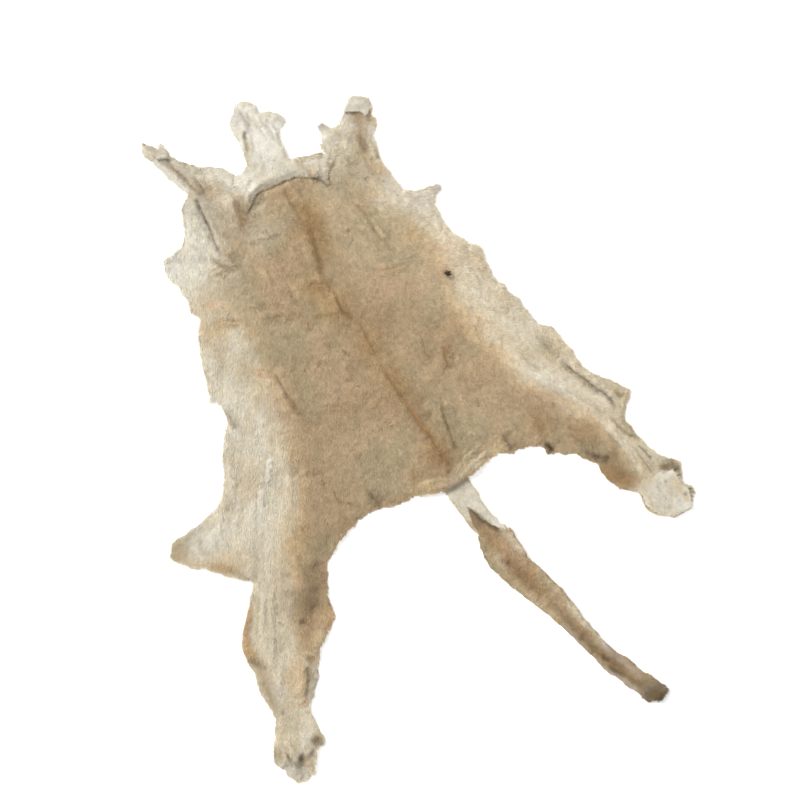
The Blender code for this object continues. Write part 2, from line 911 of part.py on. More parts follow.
def main():
    """Clears the scene and builds the hide as one object."""
    for old in list(bpy.data.objects):
        bpy.data.objects.remove(old)
    solid = build_hide()
    bmesh.ops.translate(solid, vec=-ORIGIN, verts=solid.verts)
    bmesh.ops.scale(solid, vec=(MILLIMETRE,) * 3, verts=solid.verts)
    mesh = bpy.data.meshes.new("hide")
    solid.to_mesh(mesh)
    solid.free()
    mesh.materials.append(coat_material())
    mesh.shade_smooth()
    mesh.set_sharp_from_angle(angle=SHARP_ANGLE)
    hide = bpy.data.objects.new("hide", mesh)
    bpy.context.scene.collection.objects.link(hide)


main()
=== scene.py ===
"""Looks of the lion skin: the thin tanned sheet with its folds, the lying coat and the studio.

Places are given in millimetres of the hide's own plan. There the dorsal line is x = 0, the
neck lies towards +y, and +x is the animal's right side. Meshes are made in metres in the
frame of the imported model.
"""

import logging
import math
from dataclasses import dataclass, fields
from enum import Enum

import bmesh
import bpy
import numpy as np
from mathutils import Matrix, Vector, noise
from mathutils.bvhtree import BVHTree
from mathutils.kdtree import KDTree


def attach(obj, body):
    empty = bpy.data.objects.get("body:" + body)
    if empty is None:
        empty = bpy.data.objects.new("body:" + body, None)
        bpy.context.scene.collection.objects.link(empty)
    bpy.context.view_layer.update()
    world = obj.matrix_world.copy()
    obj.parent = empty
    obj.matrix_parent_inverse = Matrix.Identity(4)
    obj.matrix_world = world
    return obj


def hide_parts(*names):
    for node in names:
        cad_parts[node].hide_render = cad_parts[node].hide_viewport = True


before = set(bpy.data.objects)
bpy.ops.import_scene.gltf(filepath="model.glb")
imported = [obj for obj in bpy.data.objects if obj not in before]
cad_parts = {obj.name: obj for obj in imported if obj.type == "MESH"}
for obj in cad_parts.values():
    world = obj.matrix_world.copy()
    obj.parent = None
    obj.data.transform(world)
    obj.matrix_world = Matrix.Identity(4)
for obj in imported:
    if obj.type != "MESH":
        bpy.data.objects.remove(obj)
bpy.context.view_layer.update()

LOG = logging.getLogger("lion_skin")
MM = 0.001
SEED = 29
NODE = "hide"
BODY = "root"

# The frame's origin in the plan's millimetres
PLAN_ORIGIN = np.array((-140.0, -280.0))

# Size of the noise's lattice, and how far its corner lies from the plan's zero
LATTICE_CELLS = 509
LATTICE_OFFSET = 0.37

# A mark fades to nothing at this many times its own width
MARK_REACH = 2.4
FOLD_REACH = 1.7

# Faces that look up or down more than this much count as upper or under ones
FACING_UP = 0.3
UP = Vector((0.0, 0.0, 1.0))


class Tone(Enum):
    """Colours of hair and leather as they look in even light, from 0 to 255. The darker ones also
    paint shade in creases and under edges, and the palest ones light on ridges.
    """

    TAN = (181, 158, 124)
    OLIVE = (173, 160, 129)
    FAWN = (191, 163, 131)
    HONEY = (213, 190, 152)
    GOLD = (188, 157, 108)
    SAND = (199, 183, 151)
    CREAM = (216, 206, 182)
    PALE = (229, 222, 205)
    WHITE = (240, 236, 224)
    BROWN = (152, 122, 84)
    UMBER = (117, 98, 68)
    DARK = (66, 50, 34)
    RUST = (183, 140, 92)
    PEACH = (226, 188, 152)
    STRAW = (216, 196, 156)
    ASH = (122, 112, 96)
    LILAC = (203, 194, 186)
    FLESH = (224, 218, 201)
    CHALK = (236, 233, 221)
    # Real stains, and also painted shade along the neck band's lower edge and in some creases
    STAIN_AND_SHADE = (190, 173, 140)

    def linear(self) -> np.ndarray:
        """Returns the tone as linear light from 0 to 1."""
        share = np.array(self.value) / 255.0
        return np.where(share <= 0.04045, share / 12.92, ((share + 0.055) / 1.055) ** 2.4)


class Side(Enum):
    """The surfaces of the sheet."""

    FUR = 0
    FLESH = 1
    RIM = 2


class Form(Enum):
    """How a fold stands in the sheet."""

    RIDGE = 0
    TROUGH = 1
    STEP = 2


# Short names for the rows of the tables below
(TAN, OLIVE, FAWN, HONEY, GOLD, SAND, CREAM, PALE, WHITE, BROWN,
 UMBER, DARK, RUST, PEACH, STRAW, ASH, LILAC, FLESH, CHALK, STAIN_AND_SHADE) = Tone
RIDGE, TROUGH, STEP = Form


@dataclass(frozen=True)
class Flank:
    """Where the tan of the back turns to cream, at y."""

    y: float
    left: float
    right: float


@dataclass(frozen=True)
class Patch:
    """A soft-edged oval of another tone."""

    tone: Tone
    strength: float
    x: float
    y: float
    length: float
    width: float
    turn: float


@dataclass(frozen=True)
class Streak:
    """A soft line of another tone along a path."""

    tone: Tone
    strength: float
    width: float
    path: tuple


@dataclass(frozen=True)
class Fold:
    """A crease of the sheet along a path, with its form and the tone painted along it. Dark tones
    in troughs and steps are partly painted crease shade, pale tones on ridges partly painted
    highlight.
    """

    form: Form
    height: float
    width: float
    tone: Tone
    strength: float
    path: tuple


@dataclass(frozen=True)
class Lie:
    """How the coat lies at a place: its direction, length and disorder."""

    x: float
    y: float
    dx: float
    dy: float
    length: float
    stray: float


@dataclass(frozen=True)
class Tuft:
    """A loose lock of longer hair."""

    tone: Tone
    x: float
    y: float
    dx: float
    dy: float
    length: float
    spread: float
    hairs: int


FLANKS = tuple(Flank(*row) for row in (
    (620, -330, 360), (500, -300, 320), (400, -288, 250), (330, -292, 232), (250, -290, 250),
    (150, -308, 285), (60, -318, 292), (-30, -316, 288), (-110, -328, 282), (-200, -372, 300),
    (-280, -402, 318), (-360, -452, 326), (-430, -498, 372), (-500, -545, 425), (-560, -585, 462),
    (-620, -620, 478), (-700, -640, 484), (-1400, -640, 484),
))

COAT_PATCHES = tuple(Patch(*row) for row in (
    # tone, strength, x, y, length, width, turn in degrees
    # Broad tones of the shoulders and forelegs
    (CREAM, 0.8, -185, 650, 75, 48, 140), (CREAM, 0.7, -135, 590, 50, 40, 150),
    (CREAM, 0.8, -240, 715, 44, 26, 125), (SAND, 0.6, -270, 765, 44, 20, 120),
    (PALE, 0.95, -285, 560, 70, 44, 100), (PALE, 0.9, -290, 480, 60, 44, 100),
    (CREAM, 0.7, -250, 440, 50, 30, 80), (CREAM, 0.6, -400, 480, 60, 40, 60),
    (SAND, 0.45, -120, 385, 60, 18, 20), (CREAM, 0.85, 200, 575, 60, 40, 90),
    (CREAM, 0.7, 190, 510, 40, 34, 90), (SAND, 0.6, 225, 450, 60, 40, 120),
    (CREAM, 0.8, 256, 596, 20, 34, 0), (STRAW, 0.9, 334, 560, 18, 44, 0),
    (PALE, 0.85, 302, 500, 18, 50, 150), (PALE, 0.85, 286, 440, 16, 40, 0),
    (CREAM, 0.6, 225, 415, 50, 40, 120), (WHITE, 0.6, -160, 640, 90, 40, 145),
    (WHITE, 0.6, -130, 598, 44, 30, 150), (PALE, 0.6, -205, 605, 40, 40, 0),
    (PALE, 0.6, -258, 750, 60, 24, 125), (WHITE, 0.8, -302, 520, 80, 32, 100),
    (WHITE, 0.6, -392, 420, 46, 60, 0), (WHITE, 0.6, -395, 485, 34, 34, 0),
    (PALE, 0.7, 208, 555, 50, 34, 90), (WHITE, 0.5, 256, 592, 20, 34, 0),
    (CREAM, 0.5, 128, 520, 60, 34, 150), (CREAM, 0.5, -110, 395, 55, 20, 20),
    (SAND, 0.5, -200, 395, 44, 40, 0), (CREAM, 0.5, -105, 492, 56, 20, 30),
    (CREAM, 0.5, -315, 310, 50, 60, 0), (PALE, 0.5, -408, 400, 30, 60, 0),
    (SAND, 0.4, 200, 205, 50, 44, 0),
    # Broad tones of the dorsal line, the flanks and the legs
    (BROWN, 0.45, 8, 350, 30, 90, 10), (GOLD, 0.5, -60, 195, 56, 44, 150),
    (BROWN, 0.35, -20, 100, 44, 60, 0), (BROWN, 0.35, -5, -30, 60, 50, 0),
    (BROWN, 0.45, 0, -190, 44, 80, 0), (BROWN, 0.45, 0, -290, 34, 60, 0),
    (BROWN, 0.85, 0, -415, 60, 50, 0), (HONEY, 0.5, -365, -150, 40, 60, 20),
    (HONEY, 0.55, -525, -435, 50, 80, 150), (HONEY, 0.6, -700, -395, 80, 30, 165),
    (HONEY, 0.55, 412, -480, 90, 34, 130), (SAND, 0.6, 438, -300, 60, 60, 0),
    (SAND, 0.65, 540, -478, 30, 60, 20), (SAND, 0.6, 500, -620, 34, 80, 10),
    (SAND, 0.5, 400, -215, 40, 50, 0), (HONEY, 0.5, 356, 30, 34, 60, 0),
    (HONEY, 0.5, -398, 235, 34, 50, 0), (SAND, 0.55, -765, -690, 40, 60, 30),
    (HONEY, 0.6, -700, -800, 50, 44, 60), (SAND, 0.6, -790, -810, 30, 60, 20),
    (SAND, 0.55, 395, -100, 40, 50, 20), (CREAM, 0.5, 415, -500, 60, 26, 130),
    (GOLD, 0.35, 55, 405, 34, 44, 0), (GOLD, 0.4, 14, 380, 30, 60, 0),
    (RUST, 0.35, -26, 120, 40, 40, 0), (SAND, 0.65, -110, 440, 75, 34, 60),
    (SAND, 0.55, -290, 330, 60, 90, 20), (OLIVE, 0.6, -235, 300, 50, 110, 10),
    (SAND, 0.4, -250, 130, 90, 60, 20), (OLIVE, 0.5, -260, 90, 80, 50, 0),
    (HONEY, 0.55, -345, 290, 60, 26, 130), (PEACH, 0.35, -360, 315, 26, 14, 150),
    (GOLD, 0.5, -336, 232, 26, 14, 150), (HONEY, 0.5, -345, 10, 40, 80, 0),
    (PEACH, 0.35, -338, 60, 30, 12, 120), (FAWN, 0.5, -345, -90, 30, 70, 10),
    (SAND, 0.6, 95, 255, 60, 110, 0), (SAND, 0.55, 235, 250, 60, 110, 5),
    (OLIVE, 0.5, 185, 440, 60, 60, 0), (SAND, 0.5, 100, 400, 60, 50, 140),
    (GOLD, 0.35, 248, 195, 40, 22, 150), (HONEY, 0.5, 312, 100, 40, 90, 0),
    (PEACH, 0.3, 300, 128, 34, 14, 150), (FAWN, 0.35, 165, 115, 90, 36, 160),
    (SAND, 0.5, 235, 60, 44, 60, 0), (HONEY, 0.55, 300, -110, 46, 70, 10),
    (GOLD, 0.35, 285, -165, 22, 34, 0), (HONEY, 0.55, 318, -262, 26, 60, 15),
    (FAWN, 0.5, 190, -310, 80, 70, 0), (FAWN, 0.5, 360, -430, 60, 50, 130),
    (OLIVE, 0.55, 120, -400, 70, 60, 0), (OLIVE, 0.5, 240, -455, 40, 40, 0),
    (OLIVE, 0.55, -200, -400, 110, 50, 20), (FAWN, 0.5, -330, -330, 60, 80, 10),
    (FAWN, 0.4, -380, -420, 60, 40, 20), (OLIVE, 0.4, -160, -280, 60, 60, 0),
    (FAWN, 0.4, -170, -90, 90, 50, 30), (FAWN, 0.45, -180, 250, 50, 60, 0),
    (GOLD, 0.5, -62, 130, 40, 62, 0), (GOLD, 0.4, 28, 400, 26, 60, 0),
    (BROWN, 0.35, -40, 60, 30, 40, 0), (BROWN, 0.3, 60, 15, 90, 50, 150),
    (BROWN, 0.3, 150, -95, 50, 40, 30), (BROWN, 0.35, 235, -130, 22, 50, 0),
    (BROWN, 0.25, -60, -190, 60, 90, 0), (BROWN, 0.25, 30, -300, 26, 90, 0),
    (BROWN, 0.3, -310, -80, 30, 40, 0), (BROWN, 0.3, -170, -160, 60, 22, 160),
    (WHITE, 0.4, 228, 330, 26, 16, 150), (PALE, 0.3, 236, 302, 28, 18, 150),
    (UMBER, 0.6, 219, 330, 5, 4, 0), (UMBER, 0.5, 234, 318, 6, 4, 0),
    (UMBER, 0.5, 228, 304, 5, 3, 0), (UMBER, 0.5, 240, 300, 6, 4, 60),
    (LILAC, 0.6, 272, 375, 16, 30, 0), (LILAC, 0.4, 330, 270, 40, 30, 0),
    (PALE, 0.75, -395, 420, 46, 70, 90), (LILAC, 0.4, -350, 470, 60, 26, 150),
    (PALE, 0.75, -310, 530, 60, 34, 62), (HONEY, 0.35, -400, 300, 60, 20, 60),
    (SAND, 0.45, -380, 90, 60, 24, 100), (PALE, 0.55, -450, 30, 40, 60, 0),
    # The UMBER stripe at (-479, -12) is painted shade along the turned left flank edge.
    (PEACH, 0.6, -492, -8, 7, 30, 0), (UMBER, 0.3, -479, -12, 9, 34, 0),
    (PALE, 0.4, -430, -110, 50, 30, 30), (SAND, 0.5, -540, -175, 70, 26, 58),
    (SAND, 0.45, -505, -205, 40, 20, 60), (PALE, 0.5, -560, -330, 90, 60, 60),
    (PEACH, 0.4, -522, -250, 14, 6, 60), (PALE, 0.45, -690, -305, 90, 30, 15),
    (OLIVE, 0.85, -815, -285, 42, 30, 0), (OLIVE, 0.5, -760, -262, 40, 10, 5),
    (HONEY, 0.5, -790, -335, 44, 12, 145), (GOLD, 0.65, -725, -385, 42, 14, 140),
    # The thin UMBER stripe at (-680, -446) is painted shadow under the wing's lower edge.
    (BROWN, 0.4, -700, -410, 34, 12, 135), (UMBER, 0.4, -680, -446, 30, 7, 130),
    (CREAM, 0.7, -640, -440, 60, 40, 60), (CREAM, 0.85, -690, -620, 180, 48, 64),
    (PALE, 0.5, -700, -640, 130, 20, 62), (SAND, 0.6, -600, -520, 60, 34, 60),
    (GOLD, 0.35, -500, -440, 60, 30, 30), (UMBER, 0.3, -420, -470, 60, 20, 20),
    (UMBER, 0.42, -505, -560, 44, 30, 60), (UMBER, 0.45, -560, -600, 60, 34, 50),
    (DARK, 0.5, -480, -519, 20, 11, 10), (DARK, 0.4, -519, -585, 16, 10, 0),
    (DARK, 0.6, -553, -624, 24, 12, 30), (DARK, 0.5, -600, -647, 14, 10, 60),
    (UMBER, 0.35, -575, -500, 10, 8, 0), (PEACH, 0.3, -548, -545, 30, 16, 60),
    (GOLD, 0.65, -524, -665, 30, 18, 60), (RUST, 0.35, -520, -680, 22, 10, 30),
    (BROWN, 0.45, -590, -690, 60, 26, 50), (RUST, 0.8, -744, -572, 44, 11, 52),
    (GOLD, 0.7, -778, -625, 34, 16, 70), (PEACH, 0.4, -765, -610, 16, 10, 60),
    (DARK, 0.65, -787, -672, 9, 13, 0), (GOLD, 0.4, -770, -690, 16, 30, 20),
    (HONEY, 0.6, -672, -752, 50, 26, 52), (PEACH, 0.35, -668, -762, 20, 12, 60),
    (PALE, 0.55, -735, -755, 60, 28, 55), (LILAC, 0.5, -765, -800, 40, 20, 70),
    (OLIVE, 0.6, -793, -790, 60, 13, 85), (UMBER, 0.25, -795, -800, 50, 7, 85),
    (WHITE, 0.75, -655, -828, 60, 12, 50), (LILAC, 0.5, -640, -800, 50, 12, 50),
    (CREAM, 0.8, -780, -900, 50, 40, 90), (SAND, 0.5, -815, -910, 30, 12, 100),
    (STRAW, 0.4, -812, -960, 24, 20, 0), (OLIVE, 0.6, -866, -966, 15, 13, 0),
    (UMBER, 0.35, -866, -966, 8, 8, 0), (OLIVE, 0.6, -805, -1015, 44, 34, 20),
    (ASH, 0.35, -850, -1012, 26, 24, 0), (UMBER, 0.9, -742, -978, 17, 17, 0),
    (GOLD, 0.4, -725, -978, 6, 14, 0), (DARK, 1.0, -808, -1003, 13, 9, 40),
    (DARK, 0.35, -831, -1014, 6, 14, 15), (DARK, 0.35, -816, -1022, 11, 6, 0),
    (DARK, 0.6, -772, -1004, 7, 14, 120), (UMBER, 0.6, -838, -977, 4, 14, 0),
    (UMBER, 0.35, -830, -955, 4, 12, 20), (UMBER, 0.3, -783, -908, 6, 5, 0),
    (UMBER, 0.25, -762, -908, 5, 5, 0), (UMBER, 0.25, -775, -880, 5, 5, 0),
    (RUST, 0.5, -794, -1018, 8, 14, 0), (SAND, 0.6, -786, -1036, 16, 14, 0),
    (ASH, 0.3, -840, -1042, 26, 12, 10), (LILAC, 0.5, -852, -1014, 14, 10, 0),
    (OLIVE, 0.6, 330, -540, 60, 40, 150), (BROWN, 0.4, 305, -480, 20, 50, 0),
    (BROWN, 0.45, 410, -580, 60, 34, 130), (GOLD, 0.35, 420, -548, 40, 16, 150),
    (DARK, 0.95, 301, -560, 8, 17, 5), (UMBER, 0.45, 404, -650, 40, 16, 125),
    (DARK, 0.55, 407, -654, 16, 9, 140), (DARK, 0.65, 430, -676, 18, 10, 20),
    (UMBER, 0.5, 460, -682, 14, 11, 0), (UMBER, 0.5, 428, -708, 12, 20, 20),
    (GOLD, 0.6, 408, -712, 10, 18, 0), (BROWN, 0.8, 440, -745, 60, 30, 128),
    (RUST, 0.5, 424, -726, 16, 12, 120), (RUST, 0.5, 455, -770, 44, 14, 128),
    (BROWN, 0.5, 478, -766, 14, 18, 0), (RUST, 0.4, 482, -792, 12, 9, 0),
    (DARK, 0.45, 486, -718, 13, 9, 0), (CREAM, 0.7, 500, -620, 110, 18, 102),
    (PALE, 0.5, 503, -660, 60, 10, 95), (CREAM, 0.6, 505, -760, 40, 20, 95),
    (CREAM, 0.7, 555, -725, 44, 9, 108), (OLIVE, 0.7, 535, -620, 40, 13, 102),
    (UMBER, 0.4, 543, -670, 8, 14, 0), (OLIVE, 0.7, 566, -785, 34, 24, 140),
    (UMBER, 0.8, 562, -790, 14, 11, 140), (UMBER, 0.7, 588, -808, 18, 10, 100),
    (UMBER, 0.6, 592, -888, 12, 9, 0), (SAND, 0.6, 560, -530, 24, 20, 30),
    (BROWN, 0.5, 553, -524, 8, 16, 30), (GOLD, 0.4, 566, -545, 22, 10, 60),
    (PALE, 0.5, 400, -240, 40, 50, 0), (PALE, 0.5, 400, -370, 90, 28, 120),
    (SAND, 0.5, 446, -330, 24, 40, 10), (HONEY, 0.4, 486, -380, 10, 60, 5),
    (PALE, 0.35, 360, 10, 40, 80, 0), (GOLD, 0.3, 392, 20, 16, 50, 0),
    # The DARK spot at (296, 35) is painted shade over the hole in the hide.
    (PEACH, 0.25, 405, -135, 24, 12, 20), (DARK, 1.0, 296, 35, 16, 10, 121),
    (PEACH, 0.3, 280, 52, 12, 20, 0), (CREAM, 0.8, 228, 555, 44, 22, 70),
    (SAND, 0.5, 210, 520, 40, 30, 60), (BROWN, 0.35, 288, 545, 20, 44, 0),
    # The DARK spot at (290, 588) is painted shade in the pocket of the right foreleg's fold.
    (FAWN, 0.5, 285, 530, 24, 60, 0), (DARK, 0.85, 290, 588, 16, 7, 155),
    (UMBER, 0.3, 262, 500, 8, 22, 10), (STRAW, 0.6, 280, 440, 9, 44, 0),
    (GOLD, 0.5, 272, 410, 16, 26, 0), (CREAM, 0.6, 282, 475, 8, 40, 5),
    # The ASH spot at (178, 528) is painted shadow under the inner tab.
    (PALE, 0.6, 190, 585, 14, 22, 0), (ASH, 0.5, 178, 528, 10, 14, 20),
    (SAND, 0.75, -222, 680, 60, 26, 115), (CREAM, 0.85, -205, 668, 60, 14, 120),
    (CREAM, 0.8, -172, 640, 44, 16, 145), (CREAM, 0.7, -130, 605, 34, 12, 150),
    (OLIVE, 0.6, -278, 785, 40, 20, 110), (GOLD, 0.4, -286, 775, 20, 9, 100),
    (BROWN, 0.6, -262, 732, 20, 9, 130), (LILAC, 0.5, -257, 782, 12, 10, 0),
    (SAND, 0.6, -190, 605, 40, 24, 130), (DARK, 0.5, -160, 603, 7, 6, 0),
    # Pale shoulders, forelegs and belly edges
    (PALE, 0.7, -180, 560, 30, 40, 0), (PALE, 0.5, -222, 556, 24, 60, 0),
    (CREAM, 0.5, -185, 495, 34, 50, 0), (PALE, 0.7, -175, 645, 46, 22, 145),
    (WHITE, 0.5, -138, 604, 30, 30, 0), (PALE, 0.7, -222, 690, 34, 14, 120),
    (PALE, 0.9, -256, 755, 44, 18, 125), (PALE, 0.8, -290, 795, 24, 18, 125),
    (HONEY, 0.5, -190, 596, 40, 18, 110), (BROWN, 0.35, -214, 606, 34, 9, 100),
    (CREAM, 0.5, -262, 600, 14, 30, 0), (CREAM, 0.5, -262, 478, 24, 44, 0),
    (CREAM, 0.5, -335, 520, 34, 40, 0), (CREAM, 0.6, -300, 562, 20, 24, 0),
    (PALE, 0.95, 124, 545, 54, 16, 160), (CREAM, 0.5, -385, -80, 26, 34, 0),
    (FAWN, 0.5, -180, 280, 34, 44, 0), (HONEY, 0.4, -180, 300, 24, 34, 0),
    (PEACH, 0.4, -382, 240, 24, 24, 0), (CREAM, 0.5, -140, 420, 36, 40, 0),
    (CREAM, 0.4, -262, 360, 40, 30, 0), (WHITE, 0.5, -340, 440, 30, 50, 0),
    (WHITE, 0.7, -405, 462, 44, 40, 0), (STRAW, 0.6, -382, 242, 34, 30, 0),
    (PALE, 0.85, 138, 496, 34, 46, 150), (CREAM, 0.25, 178, 522, 20, 40, 0),
    (WHITE, 0.6, 186, 560, 20, 30, 0), (PALE, 0.6, 258, 562, 22, 26, 0),
    (PALE, 0.6, 302, 500, 14, 50, 0), (SAND, 0.4, 140, 320, 30, 30, 0),
    (CREAM, 0.6, 458, -806, 16, 30, 60), (SAND, 0.6, 416, -768, 12, 34, 50),
    (SAND, 0.5, -582, -722, 24, 40, 150),
    # Deeper tones of the flanks and legs
    (BROWN, 0.45, 2, 362, 44, 34, 0), (GOLD, 0.35, 6, 300, 34, 60, 10),
    (BROWN, 0.5, 4, -400, 34, 50, 0), (UMBER, 0.35, -224, -440, 20, 24, 0),
    (SAND, 0.6, 384, -112, 26, 30, 0), (SAND, 0.6, 372, -282, 40, 34, 120),
    (SAND, 0.45, 500, -400, 30, 60, 20), (SAND, 0.75, 536, -645, 16, 44, 20),
    (SAND, 0.5, 500, -590, 20, 50, 10), (UMBER, 0.4, 462, -682, 20, 20, 0),
    (HONEY, 0.5, -700, -360, 34, 24, 0), (UMBER, 0.35, -782, -678, 14, 26, 20),
    (SAND, 0.5, -705, -800, 40, 40, 0), (UMBER, 0.15, -556, -600, 40, 60, 30),
    (BROWN, 0.5, 436, -742, 60, 28, 128), (UMBER, 0.4, 450, -742, 16, 12, 0),
    (UMBER, 0.35, 476, -762, 12, 12, 0), (RUST, 0.4, 450, -786, 30, 12, 128),
    (TAN, 0.5, 502, -752, 16, 60, 5), (WHITE, 0.6, -300, 518, 20, 50, 0),
    (PALE, 0.6, -740, -302, 60, 30, 10), (WHITE, 0.6, -498, -45, 14, 30, 0),
    (PALE, 0.85, -258, 678, 44, 13, 115), (PALE, 0.7, 302, 478, 14, 50, 0),
    (BROWN, 0.4, -62, 200, 24, 34, 0), (SAND, 0.5, -100, 510, 30, 16, 30),
    (DARK, 0.8, -808, -1003, 13, 9, 40), (DARK, 0.25, -831, -1014, 6, 14, 15),
    (DARK, 0.3, -816, -1021, 11, 6, 0), (DARK, 0.4, -774, -1004, 6, 14, 120),
    (UMBER, 0.5, -840, -978, 5, 14, 0), (UMBER, 0.6, -742, -978, 15, 15, 0),
    (UMBER, 0.3, -860, -960, 12, 14, 0), (BROWN, 0.7, 180, -160, 22, 24, 0),
    (BROWN, 0.25, 30, 372, 24, 80, 0), (GOLD, 0.45, -15, -26, 30, 60, 0),
    (GOLD, 0.5, 0, -160, 34, 60, 0), (BROWN, 0.4, 2, -180, 20, 60, 0),
    # The BROWN spot at (-140, 478) is painted shade in the V-shaped hollow at the neck band's left
    # end.
    (BROWN, 0.4, -140, 478, 16, 22, 0), (PALE, 0.8, -104, 562, 24, 16, 0),
    (PALE, 0.6, -265, 585, 13, 50, 0), (WHITE, 0.6, -266, 555, 12, 60, 0),
    (WHITE, 0.6, -266, 682, 12, 50, 20), (PALE, 0.5, -262, 762, 20, 14, 0),
    (WHITE, 0.7, 98, 548, 14, 34, 20), (PALE, 0.6, 114, 536, 20, 44, 20),
    # The BROWN spot at (100, 479) is painted shade in the crease below the band's right end.
    (SAND, 0.6, 99, 516, 14, 14, 0), (BROWN, 0.5, 100, 479, 16, 12, 0),
    (HONEY, 0.6, -20, 516, 80, 9, 176), (SAND, 0.5, 180, 516, 14, 26, 0),
    (HONEY, 0.6, -517, -672, 20, 30, 60), (HONEY, 0.5, -577, -698, 34, 20, 50),
    (STRAW, 0.5, -384, 240, 20, 24, 0), (GOLD, 0.3, 8, 420, 20, 26, 0),
    (PALE, 0.5, 462, -802, 12, 20, 0), (SAND, 0.5, -706, -440, 22, 14, 0),
    (OLIVE, 0.55, -120, 376, 36, 26, 0), (OLIVE, 0.6, 199, 150, 44, 36, 0),
    (WHITE, 0.6, -701, -301, 60, 28, 10), (SAND, 0.5, 360, 50, 24, 36, 0),
    (OLIVE, 0.55, 439, -299, 26, 36, 0), (BROWN, 0.4, 331, -480, 44, 40, 0),
    (BROWN, 0.45, -35, -40, 44, 40, 0), (BROWN, 0.5, 300, -515, 26, 30, 0),
    (SAND, 0.7, 342, -202, 22, 40, 10), (SAND, 0.5, 342, -42, 26, 34, 0),
    (SAND, 0.5, 462, -480, 22, 40, 30), (SAND, 0.7, 540, -562, 20, 30, 20),
    (UMBER, 0.45, 458, -716, 22, 26, 30), (BROWN, 0.4, 440, -750, 44, 18, 128),
    (UMBER, 0.4, 580, -798, 14, 20, 0), (UMBER, 0.35, -780, -690, 18, 44, 20),
    (TAN, 0.5, -782, -745, 22, 40, 10), (UMBER, 0.3, -660, -800, 24, 24, 0),
    (SAND, 0.5, -682, -545, 34, 44, 30), (GOLD, 0.4, -780, -640, 18, 30, 0),
    (OLIVE, 0.6, -862, -960, 20, 26, 0), (SAND, 0.6, -820, -960, 24, 30, 0),
    (SAND, 0.6, 505, -715, 40, 70, 10), (STAIN_AND_SHADE, 0.7, 498, -800, 30, 30, 0),
    (SAND, 0.5, -690, -600, 60, 70, 0), (HONEY, 0.45, -700, -790, 50, 70, 20),
    (SAND, 0.4, -795, -860, 50, 80, 20), (BROWN, 0.3, -590, -600, 40, 50, 0),
    (HONEY, 0.5, -812, -290, 30, 24, 0), (STRAW, 0.35, -60, -480, 56, 8, 158),
    (STRAW, 0.5, -100, -482, 34, 10, 165), (STRAW, 0.75, 70, -494, 60, 10, 6),
    (STRAW, 0.5, 160, -496, 40, 14, 170), (PALE, 0.45, 60, -474, 44, 6, 20),
    (GOLD, 0.6, -60, -503, 44, 7, 163), (GOLD, 0.4, -170, -472, 50, 8, 170),
    (LILAC, 0.3, 0, -503, 34, 9, 0), (UMBER, 0.4, 210, -512, 30, 8, 170),
    # The DARK and UMBER spots at (2, -473) and (-22, -476) are painted shadow at the rump edge
    # above the tail root.
    (DARK, 0.6, 2, -473, 13, 6, 0), (UMBER, 0.5, -22, -476, 8, 5, 0),
    # Last lighter and darker spots; the BROWN one at (-156, 500) is painted shade in the V-shaped
    # hollow at the neck band's left end
    (WHITE, 0.7, -104, 562, 26, 26, 0), (PALE, 0.75, -226, 712, 44, 9, 122),
    (PALE, 0.75, -278, 728, 50, 9, 118), (PALE, 0.5, -204, 688, 24, 12, 130),
    (WHITE, 0.6, -276, 472, 13, 26, 0), (TAN, 0.6, -250, 424, 10, 24, 0),
    (BROWN, 0.4, -156, 500, 40, 15, 76), (PALE, 0.5, 444, -152, 20, 24, 0),
    (WHITE, 0.45, 300, 328, 20, 24, 0), (PALE, 0.6, 378, 262, 24, 24, 0),
    (UMBER, 0.4, 204, -464, 16, 14, 0), (BROWN, 0.5, -84, -440, 20, 14, 0),
    (BROWN, 0.6, -348, -464, 24, 16, 20), (BROWN, 0.6, -300, -56, 10, 24, 0),
    (TAN, 0.6, 492, -704, 11, 20, 0), (BROWN, 0.5, 468, -656, 14, 20, 0),
    (BROWN, 0.55, -636, -764, 12, 24, 0), (BROWN, 0.5, 561, -786, 10, 18, 0),
    (BROWN, 0.5, 586, -822, 12, 12, 0), (GOLD, 0.6, -780, -656, 14, 20, 0),
    (LILAC, 0.6, -732, -250, 26, 14, 0), (SAND, 0.6, -420, -224, 16, 20, 0),
    (SAND, 0.6, 348, -320, 18, 22, 0), (SAND, 0.5, 228, 328, 16, 12, 0),
    (CREAM, 0.6, 278, 496, 8, 24, 0), (CREAM, 0.5, 276, 448, 12, 24, 0),
    (WHITE, 0.5, 302, 496, 12, 26, 0),
))
